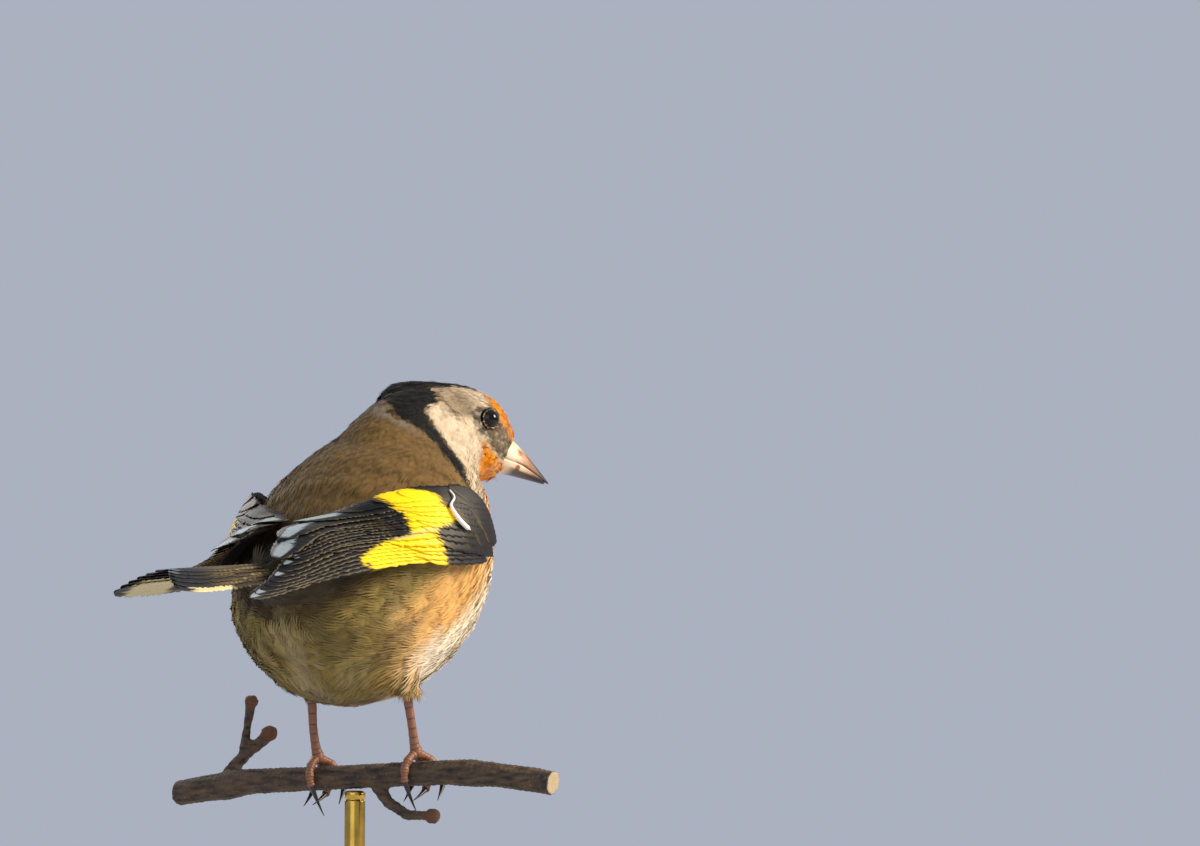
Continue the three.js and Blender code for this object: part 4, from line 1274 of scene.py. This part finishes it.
def bill_part(upper):
    """One half of the bill, a ring of points at each place along it."""
    f = np.linspace(-2, 10.95 if upper else 10.1, 64)
    w, culmen, mouth, gonys = along(BILL_LINE, f).T
    seam = mouth + (0.04 if upper else -0.04)
    rise = (culmen if upper else gonys) - seam
    taper = np.where(f > f[-1] - 0.8, np.sqrt(np.clip((f[-1] - f) / 0.8, 0.02, 1)), 1)
    angle = np.linspace(0, math.pi, 23)
    points = []
    for i, place in enumerate(f):
        across = np.abs(np.cos(angle)) ** 0.9 * np.sign(np.cos(angle)) * w[i] * taper[i]
        height = seam[i] + rise[i] * np.sin(angle) ** 0.92
        nostril = 0.35 * upper * np.exp(-((place - 1.7) ** 2 / 0.5 + (height - 2) ** 2 / 0.25))
        across = across * (1 - nostril)
        ring = BILL.place(np.full(len(angle), place), across, height)
        flat = np.linspace(-0.86, 0.86, 9) * w[i] * taper[i]
        inside = BILL.place(np.full(9, place), flat, np.full(9, seam[i]))
        points.append(np.concatenate([ring, inside]))
    sides = len(points[0])
    faces = grid_faces(len(f), sides, closed=True, flip=not upper)
    points = np.concatenate(points)
    ends = np.array([points[:sides].mean(0), points[-sides:].mean(0)])
    points = np.concatenate([points, ends])
    top = (len(f) - 1) * sides
    for j in range(sides):
        k = (j + 1) % sides
        faces.append([j, k, len(points) - 2])
        faces.append([top + k, top + j, len(points) - 1])
    return points, faces


def bill_colour(points, upper, tone):
    """Ivory horn, brown towards the middle and dark along the ridge, the cutting edge and the tip."""
    f, _, u = BILL.read(points)
    w = ripple(points, 1.7, 9)
    if upper:
        mouth = along(BILL_LINE, f)[:, 2]
        layers = (
            ("horn", 0.9 * smooth(f + 0.5 * w, 1.4, 2.4) * smooth(7 - f, 0, 2.5) * (0.8 + 0.3 * w)),
            ("horn", 0.6 * smooth(f, 2.5, 5.5)),
            ("dark", 0.95 * smooth(f + 0.4 * w, 3.6, 9)),
            ("dark", 0.6 * smooth(f, 3, 6) * smooth(u - 0.26 * (9.5 - f), 0.1, 0.6)),
            ("dark", 0.85 * smooth(0.22 - u + mouth, 0, 0.16) * smooth(f, 2, 5)),
        )
    else:
        spot = np.hypot(f - 3.0, (u + 1.1) / 1.1)
        layers = (
            ("horn", 0.95 * smooth(0.62 - spot + 0.15 * w, 0, 0.2)),
            ("horn", 0.6 * smooth(f + 0.4 * w, 3.2, 6.5)),
            ("dark", 0.9 * smooth(-u - (2.15 - 0.23 * f), -0.1, 0.3) * smooth(f, 0.6, 3)),
            ("dark", 0.9 * smooth(f + 0.4 * w, 5, 9.4)),
        )
    made = np.tile(tone["ivory"], (len(points), 1))
    for key, amount in layers:
        made = tinted(made, tone[key], amount)
    return made


def eye_part(side):
    """The eyeball, a little flatter at its front, its axis out of the side of the head."""
    centre = EYES["left" if side > 0 else "right"]
    axis = HEAD.place(0.22, side * 0.97, 0.05) - HEAD.centre
    axis /= np.linalg.norm(axis)
    helper = np.cross(axis, [0, 0, 1.0])
    helper /= np.linalg.norm(helper)
    other = np.cross(axis, helper)
    points, look = [], []
    rings, sides = 40, 48
    for i in range(rings + 1):
        t = math.pi * i / rings
        reach = EYE_RADIUS * (1.0 - 0.02 * math.cos(t))
        for j in range(sides):
            a = 2 * math.pi * j / sides
            round_part = math.sin(t) * (math.cos(a) * helper + math.sin(a) * other)
            points.append(centre + reach * (math.cos(t) * axis + round_part))
            look.append(math.sin(t) if t < math.pi / 2 else 1.0)
    faces = grid_faces(rings + 1, sides, closed=True)
    return np.array(points), faces, {"ring": np.array(look)}, (centre, axis, helper, other)


def eyelid_parts(centre, axis, helper, other):
    """The bare ring round one eye and the beads that stand on it."""
    rng = np.random.default_rng(SEED + 40)
    ring_radius = EYE_RADIUS * 0.99
    turn = np.linspace(0, 2 * math.pi, 72)
    around = np.cos(turn)[:, None] * helper + np.sin(turn)[:, None] * other
    line = centre + axis * 0.62 + ring_radius * 0.98 * around
    bare, faces = tube_part(line, np.full(72, 0.18), 10, axis)
    parts = [(bare, faces, {"bead": np.zeros(len(bare))})]
    for k in range(36):
        a = 2 * math.pi * (k + rng.uniform(-0.2, 0.2)) / 36
        rise, reach = rng.uniform(0.66, 0.9), ring_radius + rng.uniform(0.06, 0.34)
        spot = centre + axis * rise + reach * (math.cos(a) * helper + math.sin(a) * other)
        bead, faces = ball_part(spot, rng.uniform(0.07, 0.13), 8, 6)
        parts.append((bead, faces, {"bead": np.ones(len(bead))}))
    return parts


class GOLDFINCH_OT_head(bpy.types.Operator):
    """Builds the two halves of the bill, the eyes and their beaded rings"""

    bl_idname = "goldfinch.head"
    bl_label = "Bill and eyes"

    def execute(self, context):
        tone = tones(context.scene.goldfinch_head)
        # Living bill horn: waxy and slightly translucent, with a fine grain.
        horn, tree, shader = new_material("bill_horn", 0.42)
        shader.inputs["Specular IOR Level"].default_value = 0.28
        grain = speckle(tree, 2.6, 4)
        shade = ramp(tree, grain, [(0.3, (0.88, 0.86, 0.84)), (0.7, (1.04, 1.04, 1.04))])
        marked = blend(tree, 0.7, attribute(tree, "colour"), shade, "MULTIPLY")
        tree.links.new(marked, shader.inputs["Base Color"])
        shader.inputs["Subsurface Weight"].default_value = 0.06
        shader.inputs["Subsurface Radius"].default_value = (0.0012, 0.0006, 0.0004)
        shader.inputs["Coat Weight"].default_value = 0.08
        bumped(tree, shader, grain, 0.25, 0.06)
        for upper, label in ((True, "upper"), (False, "lower")):
            points, faces = bill_part(upper)
            piece = mesh_object("horn_" + label, points, faces)
            store(piece, "colour", bill_colour(points, upper, tone), "FLOAT_COLOR")
            outwards(piece)
            finished(piece, horn, ("bill_" + label,))
        # Cornea over a dark iris: wet, so it takes one sharp highlight.
        wet, tree, shader = new_material("wet_eye", 0.07)
        shader.inputs["Specular IOR Level"].default_value = 0.28
        look = attribute(tree, "ring", "Fac")
        pupil, rim = (0.002, 0.0015, 0.002), (0.004, 0.003, 0.003)
        iris = ramp(tree, look, [(0.5, pupil), (0.62, tuple(tone["iris"])), (0.95, rim)])
        tree.links.new(iris, shader.inputs["Base Color"])
        lid, tree, lid_shader = new_material("eyelid", 0.6)
        beads = speckle(tree, 2.2, 2)
        lid_shade = ramp(tree, beads, [(0.5, (0.015, 0.012, 0.01)), (0.62, tuple(tone["ring"]))])
        tree.links.new(lid_shade, lid_shader.inputs["Base Color"])
        for side, label in ((-1, "right"), (1, "left")):
            points, faces, values, directions = eye_part(side)
            piece = mesh_object("eyeball_" + label, points, faces)
            store(piece, "ring", values["ring"])
            outwards(piece)
            finished(piece, wet, ("eye_" + label,))
            lids, values = joined("eyelid_" + label, eyelid_parts(*directions))
            store(lids, "bead", values["bead"])
            outwards(lids)
            finished(lids, lid)
        return {"FINISHED"}


def ball_part(centre, radius, sides, rings):
    """A closed ball of rings of points with one point at each pole."""
    points = []
    for i in range(1, rings):
        t = math.pi * i / rings
        for j in range(sides):
            a = 2 * math.pi * j / sides
            points.append([math.sin(t) * math.cos(a), math.sin(t) * math.sin(a), math.cos(t)])
    faces = grid_faces(rings - 1, sides, closed=True, flip=True)
    points += [[0, 0, 1], [0, 0, -1]]
    top = (rings - 2) * sides
    for j in range(sides):
        k = (j + 1) % sides
        faces.append([k, len(points) - 2, j])
        faces.append([len(points) - 1, top + k, top + j])
    return np.asarray(centre) + np.array(points) * radius, faces


# Feet: name, first and last angle round the twig, sideways spread, claw's length
TOES = [
    ("inner", 84, -22, -3.4, 4.0),
    ("middle", 84, -50, 0.2, 4.4),
    ("outer", 84, -26, 3.6, 4.0),
    ("hind", 112, 206, -0.6, 6.6),
]


def round_twig(angle, radius, y):
    """A point round the twig, its angle counted in degrees from the bird's front, upwards."""
    a = np.radians(np.asarray(angle, float))
    y = np.broadcast_to(y, a.shape)
    return np.stack([radius * np.cos(a), y, PERCH + radius * np.sin(a)], -1)


SCUTE_SIDES, SCUTE_STEP = 16, 0.09


def scaled_tube(centres, radii, scutes):
    """A toe or shank whose skin is ringed by overlapping scutes; 'scute' runs 0 to 1 along each."""
    u = np.linspace(0, scutes, len(centres))
    saw = u - np.floor(u)
    stepped = radii * (1 + SCUTE_STEP * (saw - 0.4))
    points, faces = tube_part(centres, stepped, SCUTE_SIDES, np.array([0.0, 1.0, 0.0]))
    ring = np.repeat(saw, SCUTE_SIDES)
    return points, faces, {"scute": np.concatenate([ring, [0.5, 0.5]])}


def foot_parts(side):
    """One shank, its pad and its four toes round the twig."""
    y = side * FOOT_SPREAD
    rows = [
        (0, -3.6, y - side * 0.3, 17.5, 1.25),
        (1, -3, y - side * 0.3, 14, 0.92),
        (2, -2.1, y, 9.5, 0.82),
        (3, -1.2, y, 6, 0.92),
        (4, -0.5, y, 4.4, 1.2),
    ]
    shank = along(rows, np.linspace(0, 4, 64))
    parts = [scaled_tube(shank[:, :3] + [0, 0, PERCH], shank[:, 3], 9)]
    pad, faces = ball_part(round_twig(97, TOE_TRACK + 0.25, y), 1.22, 20, 12)
    parts.append((pad, faces, {"scute": np.full(len(pad), 0.5)}))
    for _, start, end, spread, _ in TOES:
        u = np.linspace(0, 1, 56)
        line = round_twig(mix(start, end, u), TOE_TRACK, y + side * spread * u)
        swell = 0.88 * (1 - 0.22 * u) * (1 + 0.1 * np.cos(u * math.pi * 6))
        parts.append(scaled_tube(line, swell, 11 if end > 0 else 9))
    return parts


def claw_part(toe, side):
    """One claw, which goes on from its toe's end and bends in under the twig."""
    _, start, end, spread, reach = toe
    y = side * FOOT_SPREAD
    turn = 1 if end > start else -1
    at = end + turn * 6
    tangent = round_twig(at + turn * 90, 1, 0) - [0, 0, PERCH]
    inward = round_twig(at + 180, 1, 0) - [0, 0, PERCH]
    root = round_twig(at, TOE_TRACK, y + side * spread * 1.03)
    u = np.linspace(-0.12, 1, 26)[:, None]
    line = root + tangent * reach * u + inward * 0.09 * reach * u * np.abs(u)
    line = line + np.array([0, side * spread * 0.12, 0]) * u
    radii = mix(0.6, 0.07, np.clip(u[:, 0], 0, 1) ** 0.9)
    return tube_part(line, radii, 14, np.array([0.0, 1.0, 0.0]), 0.8)


class GOLDFINCH_OT_legs(bpy.types.Operator):
    """Builds the scaled feet and the claws"""

    bl_idname = "goldfinch.legs"
    bl_label = "Feet and claws"

    def execute(self, context):
        tone = tones(context.scene.goldfinch_leg)
        # Horny scutes on thin skin: semi-matt, darker in the joints between them.
        hide, tree, shader = new_material("leg_scutes", 0.48)
        scute = attribute(tree, "scute", "Fac")
        joint, scale, ridge = tone["scale_edge"], tone["skin"], tone["skin"] * 1.15
        rings = ramp(tree, scute, [(0, tuple(joint)), (0.16, tuple(scale)), (1, tuple(ridge))])
        grain = speckle(tree, 4.0, 3)
        shade = ramp(tree, grain, [(0.3, (0.8, 0.78, 0.76)), (0.7, (1.1, 1.1, 1.1))])
        tree.links.new(blend(tree, 0.8, rings, shade, "MULTIPLY"), shader.inputs["Base Color"])
        bumped(tree, shader, grain, 0.3, 0.06)
        # Claw keratin: dark, polished by use at the tip.
        keratin, tree, shader = new_material("claw_keratin", 0.3)
        streak = speckle(tree, 3.0, 3)
        dark, pale = tuple(tone["claw"] * 0.7), tuple(tone["claw"] * 1.8)
        tree.links.new(ramp(tree, streak, [(0.35, dark), (0.75, pale)]), shader.inputs["Base Color"])
        bumped(tree, shader, streak, 0.2, 0.04)
        for side, label in ((-1, "right"), (1, "left")):
            foot, values = joined("scutes_foot_" + label, foot_parts(side))
            store(foot, "scute", values["scute"])
            outwards(foot)
            finished(foot, hide, ("foot_" + label,))
            for toe in TOES:
                points, faces = claw_part(toe, side)
                claw = mesh_object(f"horn_claw_{label}_{toe[0]}", points, faces)
                outwards(claw)
                finished(claw, keratin, (f"claw_{label}_{toe[0]}",))
        return {"FINISHED"}


BARK_VOXEL = 0.3
# Buds at the ends and the fork of the side twigs: centre from the twig's middle, and radius.
BUDS = [(3.9, 26.4, 9.7, 1.75), (2.5, 29.7, 16, 1.5), (2.7, 30.9, 6.6, 1.6), (-1.6, -16, -8.3, 1.7)]


class GOLDFINCH_OT_perch(bpy.types.Operator):
    """Builds the cut twig with its bark, side twigs and buds"""

    bl_idname = "goldfinch.perch"
    bl_label = "Twig"

    def execute(self, context):
        settings = context.scene.goldfinch_stand
        perch = copied_nodes("bark_perch", ["perch"])
        rounded(perch, BARK_VOXEL, 6)
        points, normals = points_of(perch), normals_of(perch)
        knob = ripple(points, 7, 21) * 0.09 + ripple(points, 2.2, 22) * 0.05
        knob = knob + ripple(points, 0.9, 23) * 0.03
        wrinkle = 0.05 * np.sin(points[:, 1] * 5.2 + 2 * ripple(points, 4, 24))
        bud = np.zeros(len(points))
        for x, y, z, radius in BUDS:
            away = points - [x, y, PERCH + z]
            near = smooth(radius + 0.4 - np.linalg.norm(away, axis=1), 0, 0.35)
            turn = np.arctan2(away[:, 2], away[:, 0] + away[:, 1])
            knob = knob + near * 0.22 * (np.abs(np.sin(turn * 3 + away @ [1.1, 1.7, 0.9])) - 0.5)
            bud = np.maximum(bud, near)
        store(perch, "bud", bud)
        move_points(perch, points + normals * (knob + wrinkle - 0.12)[:, None])
        perch.data.polygons.foreach_set("use_smooth", [True] * len(perch.data.polygons))
        cut = smooth(np.abs(points[:, 1]), 40, 40.6) * smooth(np.abs(normals[:, 1]), 0.75, 0.9)
        store(perch, "cut", cut)
        # Thin bark of a young twig: dry and matt, with furrows along it and pale corky pores.
        bark, tree, shader = new_material("twig_bark", 0.82)
        furrow = speckle(tree, 1.1, 6, stretch=(1, 0.25, 1))
        deep, plain, worn = settings.bark_dark, settings.bark, np.array(settings.bark) * 1.9
        base = ramp(tree, furrow, [(0.32, tuple(deep)), (0.52, tuple(plain)), (0.8, tuple(worn))])
        pore = speckle(tree, 1.0, 1, stretch=(1, 1.8, 1))
        pores = ramp(tree, pore, [(0.7, (0, 0, 0)), (0.78, (0.7, 0.7, 0.7))])
        base = blend(tree, pores, base, (0.2, 0.15, 0.11))
        base = blend(tree, attribute(tree, "bud", "Fac"), base, tuple(settings.bud))
        ends = blend(tree, attribute(tree, "cut", "Fac"), base, (0.42, 0.32, 0.19))
        tree.links.new(ends, shader.inputs["Base Color"])
        bumped(tree, shader, furrow, 0.9, 0.35)
        finished(perch, bark, ("perch",))
        return {"FINISHED"}


def lathe_part(profile, sides, centre):
    """A closed turned shape from (radius, height) rows that start and end on the axis."""
    rings = np.array(profile[1:-1], float)
    angle = np.linspace(0, 2 * math.pi, sides, endpoint=False)
    points = np.stack(
        [
            rings[:, :1] * np.cos(angle)[None] + centre[0],
            rings[:, :1] * np.sin(angle)[None] + centre[1],
            np.repeat(rings[:, 1:2], sides, 1),
        ],
        -1,
    ).reshape(-1, 3)
    faces = grid_faces(len(rings), sides, closed=True)
    points = np.concatenate([points, [[*centre, profile[0][1]], [*centre, profile[-1][1]]]])
    top = (len(rings) - 1) * sides
    for j in range(sides):
        k = (j + 1) % sides
        faces.append([k, j, len(points) - 2])
        faces.append([top + j, top + k, len(points) - 1])
    return points, faces


class GOLDFINCH_OT_stand(bpy.types.Operator):
    """Builds the turned base and the brass rod of the display stand"""

    bl_idname = "goldfinch.stand"
    bl_label = "Stand"

    def execute(self, context):
        settings = context.scene.goldfinch_stand
        low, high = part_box("stand_base")
        radius, height = (high.x - low.x) / 2 / MM, high.z / MM
        centre = ((high.x + low.x) / 2 / MM, 0.0)
        profile = [(0, 0), (radius - 2, 0), (radius - 1, 0.02), (radius - 0.3, 0.3), (radius, 1)]
        for k in range(9):
            a = math.pi / 2 * k / 8
            profile.append((radius - 2.6 + 2.6 * math.cos(a), height - 2.6 + 2.6 * math.sin(a)))
        profile += [(radius - 4.6, height), (radius - 5.0, height - 0.25), (radius - 5.5, height - 0.35)]
        profile += [(radius - 6.0, height - 0.25), (radius - 6.4, height), (radius - 18, height)]
        profile += [(3, height), (0, height)]
        points, faces = lathe_part(profile, 160, centre)
        base = mesh_object("turned_stand_base", points, faces)
        outwards(base)
        # Oiled walnut, turned on a lathe: satin, with long dark pores along the grain.
        wood, tree, shader = new_material("oiled_walnut", 0.38)
        figure = speckle(tree, 0.09, 4, stretch=(0.35, 1, 1))
        where = node(tree, "ShaderNodeTexCoord", output="Object")
        sway = node(tree, "ShaderNodeTexNoise", {"Vector": where, "Scale": 30.0}, 1)
        warped = blend(tree, 0.02, where, sway, "ADD")
        growth = node(
            tree,
            "ShaderNodeTexWave",
            {"Vector": warped, "Scale": 95.0, "Distortion": 3.0, "Detail": 3.0, "Detail Scale": 1.2},
            1,
            bands_direction="Y",
        )
        pores = speckle(tree, 2.4, 2, stretch=(0.06, 1, 1))
        dark, mid = np.array(settings.wood_dark), np.array(settings.wood)
        late = mix(dark, mid, 0.55)
        rings = ramp(tree, growth, [(0.2, tuple(late)), (0.6, tuple(mid)), (0.95, tuple(mid * 1.45))])
        cloud = ramp(tree, figure, [(0.35, (0, 0, 0)), (0.7, (0.45, 0.45, 0.45))])
        rings = blend(tree, cloud, rings, tuple(mid * 1.7))
        pits = ramp(tree, pores, [(0.33, (1, 1, 1)), (0.42, (0, 0, 0))])
        tree.links.new(blend(tree, pits, rings, tuple(dark * 0.8)), shader.inputs["Base Color"])
        shader.inputs["Coat Weight"].default_value = 0.15
        shader.inputs["Coat Roughness"].default_value = 0.3
        bumped(tree, shader, pores, 0.25, 0.08)
        finished(base, wood, ("stand_base",))
        low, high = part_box("stand_rod")
        x, y = (low.x + high.x) / 2 / MM, (low.y + high.y) / 2 / MM
        r, bottom, top = (high.x - low.x) / 2 / MM, low.z / MM, high.z / MM
        rows = [(0, bottom), (r - 0.2, bottom), (r, bottom + 0.2)]
        rows += [(r, z) for z in np.linspace(bottom + 1, top - 2.2, 12)]
        rows += [(r, top - 2.0), (r - 0.25, top - 1.85), (r - 0.25, top - 1.5)]
        rows += [(r, top - 1.35), (r, top - 0.3), (r - 0.3, top), (0, top)]
        points, faces = lathe_part(rows, 64, (x, y))
        rod = mesh_object("brass_stand_rod", points, faces)
        outwards(rod)
        # Brass brushed round the rod: fine rings, warm reflections.
        brass, tree, shader = new_material("brushed_brass", 0.26)
        shader.inputs["Metallic"].default_value = 1.0
        lines = speckle(tree, 6.0, 2, stretch=(0.05, 0.05, 1))
        dull = np.array(settings.brass) * 0.72
        patches = speckle(tree, 0.25, 4)
        tarnish = ramp(tree, patches, [(0.35, tuple(dull)), (0.6, tuple(settings.brass))])
        tree.links.new(tarnish, shader.inputs["Base Color"])
        bumped(tree, shader, lines, 0.35, 0.02)
        finished(rod, brass, ("stand_rod",))
        return {"FINISHED"}


# The camera that took the photo: its turn and rise in degrees, the photo's size and the twig's middle
# in it in pixels, and the millimetres across the frame at the bird.
CAMERA_TURN, CAMERA_RISE = 32.0, 8.5
PHOTO_WIDTH, PHOTO_HEIGHT = 1200, 846
TWIG_ACROSS, TWIG_DOWN = 368, 776
FRAME_WIDTH = PHOTO_WIDTH / 5.2
SENSOR = 36
FLOOR_HALF = 1500
LIGHT_TARGET = (0, 0, 0.14)


class GOLDFINCH_OT_stage(bpy.types.Operator):
    """Builds the pale floor, the soft lights and the camera"""

    bl_idname = "goldfinch.stage"
    bl_label = "Stage"

    def execute(self, context):
        settings = context.scene.goldfinch_stage
        scene = context.scene
        points = []
        rows, columns = 24, 2
        for i in range(rows):
            x = FLOOR_HALF * (2 * i / (rows - 1) - 1)
            points += [(x, -FLOOR_HALF, 0), (x, FLOOR_HALF, 0)]
        floor = mesh_object("floor", points, grid_faces(rows, columns, flip=True))
        paper, tree, shader = new_material("floor_paper", 0.9)
        grain = speckle(tree, 0.02, 2)
        tint = np.array(settings.floor)
        shade = ramp(tree, grain, [(0.3, tuple(tint * 0.98)), (0.7, tuple(tint))])
        tree.links.new(shade, shader.inputs["Base Color"])
        floor.data.materials.append(paper)
        turn, rise = math.radians(CAMERA_TURN), math.radians(CAMERA_RISE)
        view = Vector((math.cos(turn) * math.cos(rise), math.sin(turn) * math.cos(rise), math.sin(rise)))
        right = Vector((math.sin(turn), -math.cos(turn), 0))
        up = right.cross(view)
        pixel = FRAME_WIDTH / PHOTO_WIDTH * MM
        across, down = PHOTO_WIDTH / 2 - TWIG_ACROSS, TWIG_DOWN - PHOTO_HEIGHT / 2
        target = Vector((0, 0, PERCH * MM)) + right * across * pixel + up * down * pixel
        data = bpy.data.cameras.new("camera")
        data.sensor_width = SENSOR
        data.lens = SENSOR * settings.distance / (FRAME_WIDTH * MM)
        data.clip_start = 0.01
        camera = bpy.data.objects.new("camera", data)
        camera.matrix_world = Matrix.Translation(target - view * settings.distance) @ Matrix(
            (
                (right.x, up.x, -view.x, 0),
                (right.y, up.y, -view.y, 0),
                (right.z, up.z, -view.z, 0),
                (0, 0, 0, 1),
            )
        )
        scene.collection.objects.link(camera)
        scene.camera = camera
        # Each light: name, place and width in metres, power in watts and colour.
        lights = (
            ("key", (0.28, -0.74, 0.58), 0.36, settings.key_power, "FFF0DA"),
            ("fill", (-0.9, -0.1, 0.45), 0.8, settings.key_power * 0.22, "EEF1FF"),
            ("back", (0.3, 0.8, 0.7), 0.6, settings.key_power * 0.35, "FFF8F0"),
        )
        for name, place, size, power, tint in lights:
            lamp = bpy.data.lights.new(name, "AREA")
            lamp.energy = power
            lamp.size = size
            lamp.color = linear(tint)
            holder = bpy.data.objects.new(name, lamp)
            holder.location = place
            aim = Vector(LIGHT_TARGET) - holder.location
            holder.rotation_euler = aim.to_track_quat("-Z", "Y").to_euler()
            scene.collection.objects.link(holder)
        world = bpy.data.worlds.new("soft_room")
        world.use_nodes = True
        sky = world.node_tree.nodes["Background"]
        sky.inputs["Color"].default_value = (*linear("D6DEF0"), 1)
        sky.inputs["Strength"].default_value = 0.6
        scene.world = world
        scene.view_settings.view_transform = "Standard"
        return {"FINISHED"}


class GOLDFINCH_PT_panel(bpy.types.Panel):
    """Lists the settings and the steps in order"""

    bl_idname = "GOLDFINCH_PT_panel"
    bl_label = "Perched goldfinch"
    bl_space_type = "VIEW_3D"
    bl_region_type = "UI"
    bl_category = "Goldfinch"

    def draw(self, context):
        for key, group in SETTINGS.items():
            box = self.layout.box()
            for field in group.__annotations__:
                box.prop(getattr(context.scene, key), field)
        for step in STEPS:
            self.layout.operator(step.bl_idname)


STEPS = (
    GOLDFINCH_OT_body,
    GOLDFINCH_OT_wings,
    GOLDFINCH_OT_tail,
    GOLDFINCH_OT_head,
    GOLDFINCH_OT_legs,
    GOLDFINCH_OT_perch,
    GOLDFINCH_OT_stand,
    GOLDFINCH_OT_stage,
)


def register():
    for group in (*SETTINGS.values(), *STEPS, GOLDFINCH_PT_panel):
        bpy.utils.register_class(group)
    for key, group in SETTINGS.items():
        setattr(bpy.types.Scene, key, bpy.props.PointerProperty(type=group))


def unregister():
    for key in SETTINGS:
        delattr(bpy.types.Scene, key)
    for group in (GOLDFINCH_PT_panel, *reversed(STEPS), *SETTINGS.values()):
        bpy.utils.unregister_class(group)


def main():
    register()
    for step in STEPS:
        family, verb = step.bl_idname.split(".")
        getattr(getattr(bpy.ops, family), verb)()


if __name__ == "__main__":
    main()
